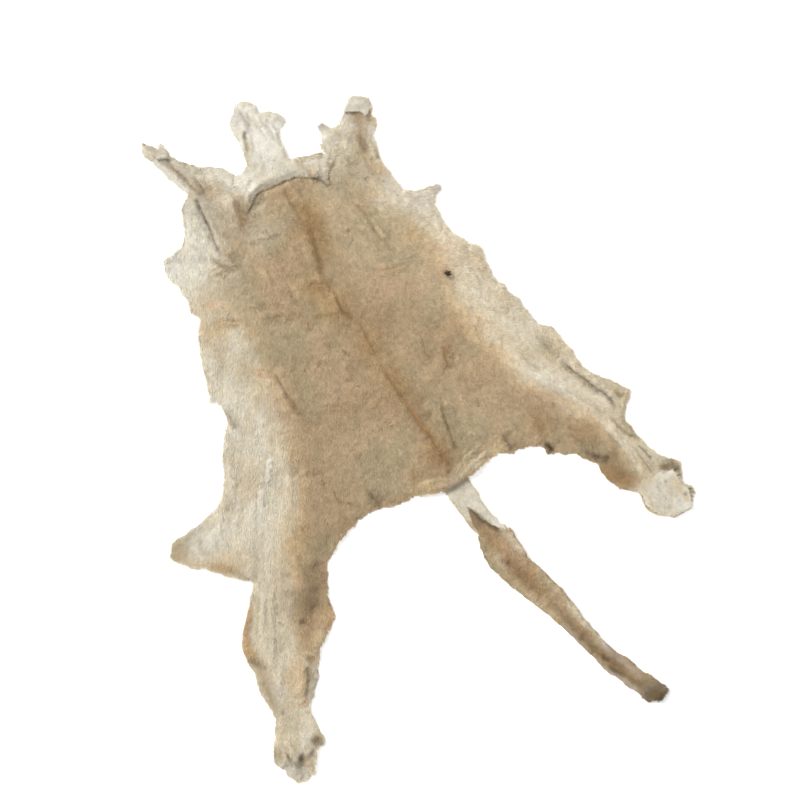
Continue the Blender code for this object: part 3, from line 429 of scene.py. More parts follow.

# Middle of the tail tube, and the darker and lighter streaks along it
TAIL_MIDDLE = ((2, -600), (26, -690), (26, -760), (30, -840), (52, -900), (76, -960), (90, -1030),
               (110, -1110), (126, -1170), (146, -1230), (180, -1310), (205, -1380))
TAIL_STREAKS = tuple(Streak(*row) for row in (
    (TAN, 1.0, 90, TAIL_MIDDLE), (BROWN, 0.4, 40, ((0, -640), (26, -740), (30, -830), (52, -900))),
    (BROWN, 0.45, 26, ((90, -1030), (120, -1130), (150, -1240), (196, -1330))),
    (ASH, 0.7, 34, ((186, -1326), (204, -1356), (218, -1410))),
    (UMBER, 0.7, 26, ((194, -1336), (208, -1365), (220, -1410))),
    (BROWN, 0.5, 24, ((132, -1170), (152, -1220), (172, -1270))),
    (BROWN, 0.3, 30, ((0, -700), (10, -780), (20, -830))),
    (OLIVE, 0.7, 14, ((-14, -700), (-26, -745), (-26, -790), (-20, -840), (0, -890))),
    (FAWN, 0.6, 26, ((40, -730), (50, -800), (56, -830))),
    (CREAM, 0.7, 13, ((56, -690), (68, -750), (76, -800))),
    (SAND, 0.7, 12, ((86, -850), (96, -900), (112, -970))),
    (CREAM, 0.55, 14, ((0, -760), (4, -790), (12, -830))),
    (SAND, 0.5, 12, ((4, -850), (24, -920), (44, -970), (58, -1020))),
    (BROWN, 0.7, 18, ((14, -770), (38, -840), (52, -890), (68, -940))),
    (UMBER, 0.4, 12, ((70, -950), (82, -1010), (92, -1070), (104, -1110))),
    (CREAM, 0.7, 9, ((114, -980), (124, -1040), (138, -1100), (150, -1170))),
    (LILAC, 0.35, 8, ((72, -1040), (84, -1100), (94, -1160), (112, -1210))),
    (LILAC, 0.4, 10, ((140, -1140), (152, -1190), (172, -1240), (190, -1290))),
    (LILAC, 0.5, 9, ((112, -1210), (130, -1260), (150, -1300), (166, -1330))),
    (UMBER, 0.6, 12, ((98, -1090), (108, -1130), (124, -1180))),
    (DARK, 0.6, 6, ((122, -1175), (132, -1195), (140, -1202))),
    (DARK, 0.6, 6, ((130, -1212), (136, -1240), (152, -1262))),
    (UMBER, 0.6, 7, ((142, -1215), (152, -1240), (160, -1258))),
    (UMBER, 0.65, 7, ((160, -1272), (172, -1295), (186, -1315))),
    (ASH, 0.5, 22, ((188, -1320), (196, -1345))), (UMBER, 0.85, 30, ((196, -1352), (208, -1385))),
    (DARK, 0.75, 14, ((170, -1384), (205, -1386), (245, -1384))),
    (DARK, 0.7, 6, ((2, -604), (10, -640), (25, -672), (46, -702))),
    (UMBER, 0.5, 12, ((0, -615), (4, -650), (8, -676))), (DARK, 0.55, 8, ((22, -796), (27, -804))),
    (RUST, 0.45, 9, ((66, -850), (70, -866))), (DARK, 0.3, 8, ((28, -840), (32, -858))),
    (UMBER, 0.4, 6, ((96, -1110), (100, -1118))), (UMBER, 0.5, 6, ((114, -1140), (118, -1150))),
    (CREAM, 0.5, 9, ((112, -1020), (121, -1050), (130, -1080))),
    (UMBER, 0.3, 11, ((84, -1020), (90, -1050), (98, -1080))),
    (UMBER, 0.3, 11, ((146, -1196), (154, -1222), (162, -1244))),
    (BROWN, 0.6, 8, ((8, -812), (14, -836))), (SAND, 0.5, 8, ((126, -1118), (136, -1150))),
))

# The dark lines along the tongue's creases and along the neck band's lower edge are partly painted
# shade.
FLESH_STREAKS = tuple(Streak(*row) for row in (
    (WHITE, 0.7, 44, ((10, 780), (14, 700), (20, 640), (10, 590))),
    (SAND, 0.9, 34, ((88, 560), (120, 520), (150, 480))),
    (TAN, 0.6, 18, ((128, 520), (136, 480), (130, 450))),
    (SAND, 0.7, 26, ((-150, 560), (-140, 520), (-120, 490))),
    (LILAC, 0.6, 40, ((505, -850), (550, -880))),
    (DARK, 0.75, 5, ((-18, 705), (-26, 698), (-30, 686))),
    (UMBER, 0.65, 6, ((-28, 692), (-36, 672), (-44, 648))),
    (STRAW, 0.5, 8, ((-22, 680), (-30, 655), (-36, 640))),
    (ASH, 0.45, 7, ((-6, 770), (-2, 740), (2, 710))),
    (LILAC, 0.7, 14, ((-14, 780), (-22, 750), (-30, 730))),
    (STAIN_AND_SHADE, 0.4, 8, ((10, 775), (28, 782), (42, 760))),
    (STAIN_AND_SHADE, 0.35, 8, ((12, 740), (20, 700), (26, 660))),
    (UMBER, 0.45, 4, ((44, 695), (47, 665), (46, 640))), (UMBER, 0.55, 4, ((53, 705), (56, 690))),
    (STAIN_AND_SHADE, 0.4, 5, ((60, 690), (64, 660))), (STAIN_AND_SHADE, 0.4, 12, ((66, 722), (80, 700), (92, 682))),
    (UMBER, 0.4, 6, ((88, 676), (98, 672))), (STAIN_AND_SHADE, 0.35, 8, ((56, 640), (58, 600), (56, 575))),
    (STAIN_AND_SHADE, 0.7, 12, ((-140, 500), (-116, 522), (-88, 536), (-52, 536))),
    (STAIN_AND_SHADE, 0.4, 14, ((-50, 532), (0, 530), (40, 526))),
    (CREAM, 0.35, 30, ((-110, 566), (-80, 572), (-30, 580))),
    (CREAM, 0.4, 26, ((-110, 530), (-60, 548), (0, 556), (50, 548))),
    (WHITE, 0.6, 26, ((52, 700), (62, 680), (64, 640))),
    (WHITE, 0.6, 14, ((76, 712), (80, 690), (80, 660))),
    (SAND, 0.8, 13, ((476, -806), (500, -802), (524, -802))),
    (STAIN_AND_SHADE, 0.6, 14, ((480, -808), (500, -802), (520, -800))),
    (STAIN_AND_SHADE, 0.85, 15, ((-18, -640), (-20, -680), (-18, -706))),
    (CREAM, 0.5, 50, ((520, -850), (550, -900))),
    (LILAC, 0.6, 10, ((10, 530), (30, 532), (46, 536))),
    (STAIN_AND_SHADE, 0.6, 6, ((62, 556), (100, 538), (140, 526))),
    (SAND, 0.6, 8, ((62, 545), (100, 520), (148, 502))),
    (SAND, 0.95, 16, ((122, 462), (140, 490), (162, 528))),
    (UMBER, 0.3, 7, ((98, 528), (116, 520))),
    (STAIN_AND_SHADE, 0.5, 12, ((-142, 535), (-140, 560), (-128, 580))),
    (STAIN_AND_SHADE, 0.5, 10, ((-62, 605), (-60, 625), (-50, 650))),
    (STAIN_AND_SHADE, 0.35, 12, ((-110, 600), (-90, 594), (-70, 604))),
    (STAIN_AND_SHADE, 0.45, 9, ((478, -815), (488, -830), (484, -866), (474, -890))),
    (STRAW, 0.4, 12, ((480, -895), (505, -925), (530, -944))),
    (STAIN_AND_SHADE, 0.4, 6, ((528, -810), (536, -840), (548, -880))),
    (DARK, 0.6, 5, ((548, -830), (552, -833))),
    (STRAW, 0.7, 10, ((574, -830), (576, -870), (580, -920))),
    (STAIN_AND_SHADE, 0.35, 8, ((522, -905), (530, -912))), (DARK, 0.6, 6, ((580, -892), (588, -894))),
    (STAIN_AND_SHADE, 0.5, 6, ((-36, -530), (-32, -600), (-24, -660))),
    (STAIN_AND_SHADE, 0.45, 6, ((44, -530), (44, -600), (50, -680))),
    # Painted shadow of the rump edge on the tail root's flesh side.
    (ASH, 0.2, 10, ((-40, -526), (0, -528), (44, -526))),
    (STAIN_AND_SHADE, 0.3, 8, ((-18, -560), (-20, -610))),
    (STAIN_AND_SHADE, 0.45, 8, ((348, 600), (336, 618), (316, 630), (298, 626))),
    (PEACH, 0.4, 6, ((350, 598), (344, 586))),
    (STAIN_AND_SHADE, 0.35, 8, ((300, 606), (318, 600), (334, 590))),
    (STRAW, 0.3, 6, ((-310, 800), (-300, 770))),
    (WHITE, 0.8, 24, ((-106, 536), (-88, 564), (-80, 600))),
    (BROWN, 0.5, 9, ((554, -806), (572, -800))),
))

# The dark tones of the troughs and steps below are partly painted crease shade, the pale tones of
# the ridges partly painted highlight.
FOLDS = tuple(Fold(*row) for row in (
    # form, height, width, tone, strength, path
    # Neck and dorsal line
    (TROUGH, 2.2, 16, BROWN, 0.6, ((-2, 512), (-5, 460), (-4, 420), (-8, 375))),
    (TROUGH, 3.0, 28, BROWN, 0.8, ((24, 430), (18, 385), (8, 345), (-6, 305), (-16, 265),
     (-30, 235), (-42, 222))),
    (TROUGH, 1.0, 20, BROWN, 0.9, ((10, 365), (4, 335), (-8, 300), (-17, 262), (-32, 232))),
    (TROUGH, 1.0, 11, UMBER, 0.45, ((4, 335), (-8, 300), (-17, 262), (-32, 232))),
    (TROUGH, 1.5, 18, BROWN, 0.85, ((-80, 218), (-60, 206), (-40, 194), (-22, 182))),
    (TROUGH, 2.6, 14, BROWN, 0.9, ((-26, 166), (-29, 140), (-32, 110), (-33, 94), (-15, 66))),
    (TROUGH, 0.8, 8, UMBER, 0.45, ((-28, 150), (-31, 118), (-34, 95), (-20, 76))),
    (TROUGH, 0.9, 18, BROWN, 0.55, ((-117, 128), (-80, 106), (-50, 97), (-26, 84))),
    (TROUGH, 1.6, 18, BROWN, 0.6, ((-15, 64), (-6, 20), (-10, -40), (-12, -70))),
    (TROUGH, 2.4, 16, BROWN, 0.7, ((-12, -110), (-8, -190), (-4, -230))),
    (TROUGH, 3.0, 20, BROWN, 1.0, ((-3, -240), (0, -300), (8, -350), (8, -410), (14, -462))),
    (TROUGH, 1.0, 10, RUST, 0.6, ((-2, -250), (0, -300), (6, -345))),
    (TROUGH, 1.2, 8, UMBER, 0.6, ((6, -340), (8, -400), (14, -460))),
    (TROUGH, 1.8, 9, BROWN, 0.3, ((30, -260), (34, -340), (42, -400))),
    (TROUGH, 2.8, 12, UMBER, 0.75, ((88, -285), (76, -320), (68, -360), (60, -400), (56, -430))),
    (RIDGE, 2.6, 14, STRAW, 0.3, ((-90, 236), (-62, 224), (-46, 214))),
    (TROUGH, 2.0, 12, BROWN, 0.45, ((-108, 210), (-88, 222), (-70, 245))),
    # Left of the dorsal line
    (TROUGH, 2.4, 13, UMBER, 0.4, ((-136, 236), (-144, 205), (-148, 182))),
    (RIDGE, 2.2, 12, STRAW, 0.3, ((-122, 240), (-128, 205), (-130, 180))),
    (TROUGH, 1.1, 19, BROWN, 0.5, ((-257, 200), (-212, 184), (-168, 166), (-140, 134))),
    (RIDGE, 2.4, 16, SAND, 0.3, ((-262, 212), (-215, 192), (-172, 176))),
    (TROUGH, 1.6, 13, BROWN, 0.35, ((-164, 336), (-167, 300), (-172, 262))),
    (TROUGH, 1.6, 15, BROWN, 0.3, ((-202, 220), (-194, 204), (-184, 190))),
    (TROUGH, 1.8, 13, BROWN, 0.4, ((-138, 128), (-141, 112), (-146, 92))),
    (RIDGE, 1.6, 12, SAND, 0.2, ((-150, 318), (-146, 272), (-140, 250))),
    (TROUGH, 1.4, 12, BROWN, 0.25, ((-60, 350), (-66, 300), (-64, 262))),
    (TROUGH, 1.6, 14, UMBER, 0.35, ((-250, 250), (-238, 236), (-228, 226))),
    (TROUGH, 2.0, 14, GOLD, 0.5, ((-372, 262), (-340, 240), (-314, 222))),
    (TROUGH, 2.0, 13, RUST, 0.45, ((-344, 74), (-322, 52), (-306, 42))),
    (TROUGH, 2.4, 13, UMBER, 0.5, ((-302, 42), (-300, 0), (-303, -48))),
    (TROUGH, 1.8, 16, UMBER, 0.35, ((-300, -56), (-296, -84), (-286, -112))),
    (TROUGH, 1.4, 12, BROWN, 0.3, ((-100, -30), (-104, -70), (-106, -104))),
    (TROUGH, 1.4, 14, BROWN, 0.3, ((-230, -118), (-205, -134), (-180, -150))),
    (TROUGH, 1.8, 11, UMBER, 0.4, ((-322, -340), (-327, -372), (-320, -398), (-296, -420),
     (-276, -440))),
    (TROUGH, 2.4, 14, UMBER, 0.6, ((-234, -398), (-229, -430), (-226, -462))),
    (TROUGH, 1.4, 12, BROWN, 0.3, ((-218, -288), (-206, -312))),
    (TROUGH, 1.6, 16, BROWN, 0.5, ((-88, -410), (-94, -440), (-106, -468))),
    # Left shoulder and foreleg
    (RIDGE, 0.6, 26, CREAM, 0.6, ((-266, 575), (-270, 530), (-276, 485), (-280, 440))),
    (TROUGH, 3.4, 11, DARK, 1.0, ((-240, 600), (-243, 574), (-248, 540), (-251, 522))),
    (TROUGH, 2.6, 10, UMBER, 0.75, ((-247, 545), (-254, 505), (-261, 460), (-265, 425))),
    (RIDGE, 3.8, 13, CREAM, 0.45, ((-234, 606), (-238, 560), (-243, 505), (-248, 450))),
    (RIDGE, 3.4, 13, LILAC, 0.5, ((-270, 470), (-262, 430), (-262, 392))),
    (TROUGH, 2.4, 11, UMBER, 0.5, ((-294, 436), (-284, 405), (-270, 384), (-240, 370),
     (-226, 362))),
    (TROUGH, 2.0, 10, BROWN, 0.4, ((-248, 425), (-242, 398), (-244, 380))),
    (RIDGE, 3.6, 12, WHITE, 0.4, ((-282, 588), (-298, 548), (-322, 508))),
    (TROUGH, 2.0, 12, CREAM, 0.4, ((-272, 566), (-286, 530), (-304, 492))),
    (RIDGE, 3.2, 12, WHITE, 0.4, ((-264, 545), (-272, 505), (-284, 468))),
    (TROUGH, 1.6, 12, LILAC, 0.3, ((-310, 560), (-326, 530), (-346, 508))),
    (RIDGE, 2.4, 16, PALE, 0.3, ((-336, 480), (-350, 440), (-342, 396))),
    (TROUGH, 2.0, 12, STRAW, 0.4, ((-318, 396), (-302, 392), (-290, 396))),
    (TROUGH, 3.4, 9, DARK, 0.85, ((-288, 759), (-268, 751), (-250, 738))),
    (TROUGH, 3.0, 9, BROWN, 0.75, ((-259, 722), (-246, 690), (-236, 655), (-223, 612))),
    (TROUGH, 2.4, 12, UMBER, 0.5, ((-214, 668), (-209, 635), (-205, 602))),
    (RIDGE, 3.0, 12, CREAM, 0.4, ((-226, 676), (-224, 640), (-222, 606))),
    (RIDGE, 3.0, 14, CREAM, 0.3, ((-236, 716), (-214, 690), (-196, 662))),
    (TROUGH, 2.2, 16, BROWN, 0.55, ((-144, 556), (-150, 520), (-160, 485), (-168, 462))),
    (TROUGH, 1.6, 14, BROWN, 0.3, ((-190, 566), (-186, 520), (-178, 490))),
    (RIDGE, 2.2, 14, SAND, 0.3, ((-206, 580), (-208, 520), (-214, 470))),
    # Neck band, its strip and the shadows below it
    (TROUGH, 2.0, 10, DARK, 0.4, ((-138, 494), (-110, 508), (-88, 520), (-64, 526))),
    (TROUGH, 2.4, 8, DARK, 0.4, ((-94, 501), (-80, 511), (-64, 521))),
    (TROUGH, 2.0, 9, DARK, 0.5, ((54, 512), (66, 501))),
    (TROUGH, 2.0, 9, DARK, 0.6, ((82, 490), (98, 478), (109, 464), (113, 440))),
    (RIDGE, 3.2, 10, STRAW, 0.4, ((60, 566), (100, 549), (152, 528))),
    (RIDGE, 3.0, 9, PALE, 0.3, ((58, 540), (98, 512), (126, 494))),
    (RIDGE, 3.4, 11, PALE, 0.2, ((-130, 512), (-94, 540), (-52, 548), (4, 544))),
    (RIDGE, 2.6, 10, PALE, 0.2, ((-118, 560), (-80, 576), (-30, 574))),
    (RIDGE, 3.4, 9, WHITE, 0.3, ((10, 775), (6, 740), (18, 690), (22, 640))),
    (RIDGE, 3.2, 8, WHITE, 0.3, ((34, 730), (34, 680), (36, 640))),
    (RIDGE, 3.2, 7, WHITE, 0.3, ((58, 700), (60, 665), (55, 620))),
    (RIDGE, 3.0, 9, PALE, 0.2, ((-16, 740), (-14, 700), (-22, 660), (-34, 630))),
    (RIDGE, 2.4, 10, PALE, 0.2, ((72, 716), (84, 696), (92, 680))),
    (RIDGE, 2.2, 14, WHITE, 0.2, ((-20, 640), (-24, 600), (-40, 570))),
    # Right shoulder and foreleg
    (TROUGH, 1.8, 12, SAND, 0.5, ((164, 504), (172, 524), (182, 540))),
    (TROUGH, 1.8, 11, UMBER, 0.35, ((200, 494), (206, 476), (212, 460))),
    (RIDGE, 2.8, 13, CREAM, 0.3, ((186, 580), (188, 552), (196, 520))),
    (RIDGE, 3.4, 16, PALE, 0.4, ((248, 582), (236, 548), (224, 505))),
    (TROUGH, 2.0, 12, UMBER, 0.35, ((270, 528), (261, 500), (264, 476))),
    (RIDGE, 3.0, 10, STRAW, 0.4, ((286, 512), (284, 470), (282, 430))),
    (TROUGH, 2.4, 11, UMBER, 0.5, ((306, 588), (314, 566), (316, 545))),
    (TROUGH, 1.8, 14, BROWN, 0.35, ((254, 470), (250, 430), (246, 398))),
    (RIDGE, 2.4, 12, CREAM, 0.3, ((300, 560), (322, 556), (330, 548))),
    (TROUGH, 2.2, 11, UMBER, 0.35, ((150, 368), (164, 346), (171, 318), (171, 286), (170, 256))),
    (TROUGH, 2.0, 11, UMBER, 0.3, ((170, 262), (173, 236), (180, 206), (192, 180))),
    (TROUGH, 1.8, 10, UMBER, 0.25, ((189, 296), (190, 262), (196, 224))),
    (RIDGE, 2.4, 11, STRAW, 0.45, ((180, 304), (180, 262), (186, 224))),
    (TROUGH, 1.6, 12, BROWN, 0.35, ((96, 305), (120, 292), (140, 270))),
    # Middle and right flank
    (TROUGH, 1.6, 14, RUST, 0.35, ((120, 148), (160, 132), (200, 122))),
    (RIDGE, 2.0, 14, SAND, 0.25, ((210, 150), (240, 134), (262, 112))),
    (TROUGH, 1.6, 10, BROWN, 0.3, ((236, 116), (228, 100))),
    (TROUGH, 1.6, 12, RUST, 0.3, ((300, -110), (318, -140), (340, -166))),
    (RIDGE, 2.6, 12, PALE, 0.35, ((325, -35), (350, -70), (384, -118), (412, -150))),
    (RIDGE, 2.4, 12, PALE, 0.3, ((330, -70), (360, -110), (396, -160))),
    (RIDGE, 2.4, 13, PALE, 0.3, ((345, 200), (335, 160), (345, 110))),
    (TROUGH, 2.0, 11, GOLD, 0.35, ((372, 40), (384, 0), (376, -40))),
    (RIDGE, 2.2, 12, PALE, 0.3, ((352, 40), (360, -10), (352, -50))),
    (TROUGH, 2.0, 15, BROWN, 0.9, ((177, -140), (168, -170), (155, -210))),
    (TROUGH, 1.4, 14, BROWN, 0.35, ((130, -90), (122, -130), (128, -170))),
    (TROUGH, 2.6, 13, DARK, 0.5, ((192, -455), (198, -488), (202, -512))),
    (TROUGH, 2.0, 12, UMBER, 0.3, ((356, -268), (372, -315), (394, -352))),
    (TROUGH, 1.6, 16, UMBER, 0.3, ((434, -250), (445, -305), (456, -350))),
    # The thin DARK line and the UMBER of the step below paint the shadow along the overlapped fold
    # of the right hind leg.
    (TROUGH, 0.3, 6, DARK, 0.8, ((461, -366), (475, -402), (491, -436), (508, -476), (520, -515),
     (528, -548))),
    (STEP, 4.2, 11, UMBER, 0.55, ((529, -556), (517, -515), (505, -480), (490, -440), (472, -405),
     (454, -364))),
    (RIDGE, 2.8, 12, PALE, 0.25, ((474, -360), (492, -410), (516, -460), (540, -510))),
    (TROUGH, 2.0, 11, UMBER, 0.25, ((428, -438), (460, -498), (492, -560))),
    (RIDGE, 3.0, 18, PALE, 0.45, ((332, -300), (370, -365), (425, -440), (466, -520))),
    (RIDGE, 2.4, 12, PALE, 0.3, ((452, -440), (480, -500), (505, -560))),
    (TROUGH, 2.0, 12, UMBER, 0.5, ((550, -506), (554, -524), (562, -540))),
    # Rump edge
    (RIDGE, 3.0, 9, STRAW, 0.5, ((18, -488), (60, -470), (108, -456))),
    (RIDGE, 3.0, 8, PALE, 0.5, ((22, -500), (80, -490), (140, -482))),
    (TROUGH, 1.8, 7, BROWN, 0.45, ((20, -494), (64, -480), (112, -468))),
    (RIDGE, 3.0, 9, HONEY, 0.6, ((-14, -492), (-60, -478), (-104, -464))),
    (TROUGH, 1.8, 8, GOLD, 0.6, ((-16, -502), (-64, -492), (-112, -482))),
    (TROUGH, 2.0, 10, BROWN, 0.4, ((70, -460), (92, -452))),
    # Right hind leg
    (TROUGH, 2.8, 12, DARK, 0.8, ((300, -540), (301, -560), (306, -578))),
    (TROUGH, 2.0, 12, BROWN, 0.4, ((300, -450), (304, -480), (308, -512))),
    (TROUGH, 2.0, 12, UMBER, 0.45, ((372, -556), (382, -585), (394, -606))),
    (TROUGH, 2.2, 13, DARK, 0.4, ((386, -626), (402, -648), (418, -668), (440, -684))),
    (TROUGH, 1.6, 11, UMBER, 0.4, ((472, -612), (480, -640), (488, -664))),
    (RIDGE, 3.6, 13, PALE, 0.45, ((470, -560), (486, -620), (498, -690), (504, -770))),
    (TROUGH, 3.0, 12, UMBER, 0.6, ((500, -575), (512, -620), (524, -650), (540, -672))),
    (RIDGE, 3.2, 11, OLIVE, 0.3, ((522, -590), (532, -625), (542, -655))),
    (TROUGH, 2.4, 10, UMBER, 0.45, ((520, -696), (523, -740), (528, -785))),
    (RIDGE, 2.8, 9, CREAM, 0.4, ((530, -690), (534, -735), (540, -775))),
    (TROUGH, 2.6, 8, DARK, 0.65, ((533, -690), (540, -720), (546, -746))),
    (RIDGE, 3.0, 11, CREAM, 0.5, ((548, -690), (558, -730), (570, -765))),
    (TROUGH, 2.0, 10, STAIN_AND_SHADE, 0.3, ((506, -810), (512, -850), (522, -890))),
    (RIDGE, 2.6, 11, CHALK, 0.3, ((494, -820), (500, -866), (512, -915))),
    (RIDGE, 2.6, 11, CHALK, 0.3, ((540, -830), (548, -870), (556, -920))),
    # Left flank
    (RIDGE, 3.2, 11, WHITE, 0.6, ((-438, -172), (-462, -210), (-484, -248))),
    (TROUGH, 2.2, 10, UMBER, 0.35, ((-452, -204), (-466, -228), (-478, -250))),
    (RIDGE, 3.2, 14, WHITE, 0.7, ((-500, -236), (-535, -292), (-562, -338))),
    (TROUGH, 2.2, 12, LILAC, 0.5, ((-478, -205), (-500, -245), (-524, -290))),
    (RIDGE, 2.4, 14, PALE, 0.4, ((-546, -150), (-585, -210), (-610, -250))),
    (RIDGE, 2.6, 13, PALE, 0.3, ((-600, -250), (-640, -330), (-650, -400))),
    (RIDGE, 2.6, 14, STRAW, 0.45, ((-404, -236), (-440, -298), (-482, -360), (-516, -410))),
    (TROUGH, 1.8, 13, UMBER, 0.35, ((-396, -228), (-402, -242), (-398, -256))),
    (TROUGH, 1.8, 12, BROWN, 0.35, ((-360, -180), (-384, -216), (-398, -240))),
    (RIDGE, 2.2, 13, PALE, 0.4, ((-440, -58), (-410, -74), (-384, -78))),
    (RIDGE, 2.2, 14, PALE, 0.3, ((-400, 330), (-388, 260), (-396, 190))),
    (RIDGE, 2.2, 13, PALE, 0.3, ((-440, 160), (-420, 100), (-432, 50))),
    (TROUGH, 2.0, 11, UMBER, 0.3, ((-484, 26), (-478, -8), (-482, -46))),
    (TROUGH, 1.6, 12, GOLD, 0.3, ((-420, 220), (-415, 200), (-422, 180))),
    (RIDGE, 2.2, 11, PALE, 0.3, ((-700, -280), (-712, -310), (-716, -340))),
    (RIDGE, 2.2, 11, PALE, 0.3, ((-664, -262), (-682, -310), (-684, -352))),
    (TROUGH, 2.0, 12, OLIVE, 0.4, ((-735, -280), (-745, -310), (-742, -340))),
    (RIDGE, 2.4, 16, CREAM, 0.3, ((-620, -400), (-650, -440), (-664, -470))),
    # Left hind leg
    (RIDGE, 3.2, 12, WHITE, 0.4, ((-655, -512), (-700, -585), (-738, -645))),
    (TROUGH, 2.2, 11, SAND, 0.5, ((-676, -524), (-716, -590), (-745, -640))),
    (RIDGE, 2.8, 12, PALE, 0.35, ((-634, -520), (-668, -580), (-700, -650))),
    (TROUGH, 1.8, 12, UMBER, 0.25, ((-640, -560), (-655, -590))),
    (RIDGE, 2.8, 13, RUST, 0.4, ((-712, -540), (-750, -580), (-780, -625))),
    (TROUGH, 2.4, 11, UMBER, 0.3, ((-690, -640), (-700, -670), (-720, -700))),
    (RIDGE, 2.8, 14, PALE, 0.35, ((-700, -710), (-738, -760), (-776, -810))),
    (TROUGH, 2.6, 10, DARK, 0.5, ((-642, -742), (-632, -752), (-620, -760))),
    (TROUGH, 2.2, 14, UMBER, 0.6, ((-652, -772), (-665, -806), (-690, -838), (-708, -857))),
    (RIDGE, 3.4, 13, PALE, 0.5, ((-628, -780), (-648, -820), (-680, -850))),
    (RIDGE, 3.0, 13, HONEY, 0.4, ((-672, -770), (-692, -810), (-722, -845))),
    (TROUGH, 2.6, 9, RUST, 0.75, ((-700, -858), (-716, -864), (-734, -862))),
    (TROUGH, 1.8, 10, UMBER, 0.3, ((-780, -850), (-790, -862))),
    # Left hind foot
    (RIDGE, 4.0, 16, CREAM, 0.2, ((-872, -962), (-864, -988), (-862, -1004))),
    (RIDGE, 4.0, 15, LILAC, 0.2, ((-852, -1020), (-840, -1040), (-836, -1060))),
    (RIDGE, 3.8, 14, CREAM, 0.2, ((-800, -1022), (-794, -1040), (-802, -1054))),
    (RIDGE, 3.6, 14, CREAM, 0.1, ((-748, -965), (-738, -990), (-742, -1000))),
    (RIDGE, 3.2, 12, PALE, 0.3, ((-822, -930), (-820, -965), (-824, -992))),
    (RIDGE, 2.8, 11, PALE, 0.3, ((-770, -940), (-776, -970), (-790, -992))),
    (TROUGH, 2.4, 9, UMBER, 0.5, ((-838, -965), (-839, -980), (-842, -994))),
))

LIES = tuple(Lie(*row) for row in (
    # x, y, dx, dy, length, stray
    (0, 520, 0.0, -1.0, 11, 0.22), (0, 250, 0.0, -1.0, 11, 0.20), (0, -50, 0.0, -1.0, 11, 0.20),
    (0, -300, 0.0, -1.0, 11, 0.22), (0, -500, 0.0, -1.0, 15, 0.30),
    (-200, 350, -0.2, -1.0, 11, 0.22), (-220, 0, -0.2, -1.0, 11, 0.22),
    (-240, -350, -0.25, -1.0, 12, 0.22), (200, 350, 0.2, -1.0, 11, 0.22),
    (200, 0, 0.2, -1.0, 11, 0.22), (200, -350, 0.2, -1.0, 12, 0.22),
    (-300, -480, -0.2, -1.0, 14, 0.3), (200, -510, 0.15, -1.0, 14, 0.3),
    (-400, 440, -0.5, -0.8, 17, 0.35), (-430, 200, -0.6, -0.8, 18, 0.30),
    (-480, 0, -0.6, -0.9, 19, 0.28), (-520, -240, -0.55, -0.83, 20, 0.25),
    (-600, -300, -0.6, -0.8, 19, 0.28), (-790, -290, -1.0, -0.05, 17, 0.35),
    (-680, -400, -0.6, -0.8, 17, 0.30), (-560, -480, -0.5, -1.0, 15, 0.25),
    (-660, -620, -0.5, -0.9, 14, 0.22), (-740, -620, -0.6, -0.9, 15, 0.3),
    (-520, -620, -0.1, -1.0, 14, 0.3), (-720, -780, -0.5, -0.9, 12, 0.25),
    (-800, -950, -0.2, -1.0, 10, 0.3), (-830, -1050, -0.2, -1.0, 11, 0.45),
    (-320, 550, -0.3, -0.9, 16, 0.35), (-230, 600, -0.9, 0.1, 12, 0.3),
    (-150, 600, 0.9, 0.0, 13, 0.3), (-200, 520, -0.3, -0.9, 12, 0.3),
    (-270, 760, -0.9, 0.4, 11, 0.3), (230, 480, 0.1, -0.3, 14, 0.3),
    (290, 500, 0.8, -0.1, 13, 0.3), (290, 600, 0.6, 0.6, 12, 0.3), (190, 590, -0.3, 0.7, 13, 0.35),
    (140, 505, 0.3, -0.9, 11, 0.3), (330, 280, 0.9, -0.3, 18, 0.32),
    (380, 80, 0.8, -0.7, 18, 0.32), (430, -150, 0.7, -0.9, 18, 0.32),
    (480, -350, 0.4, -1.0, 17, 0.25), (570, -520, 0.7, -0.9, 18, 0.35),
    (350, -500, 0.2, -1.0, 14, 0.25), (400, -640, -0.1, -1.0, 14, 0.3),
    (460, -720, 0.3, -1.0, 13, 0.3), (530, -700, 0.3, -1.0, 12, 0.22),
    (590, -800, 0.8, -0.5, 18, 0.45), (20, -720, 0.05, -1.0, 14, 0.22),
    (90, -1000, 0.25, -1.0, 14, 0.22), (150, -1220, 0.35, -1.0, 14, 0.22),
    (210, -1370, 0.35, -1.0, 18, 0.3),
))

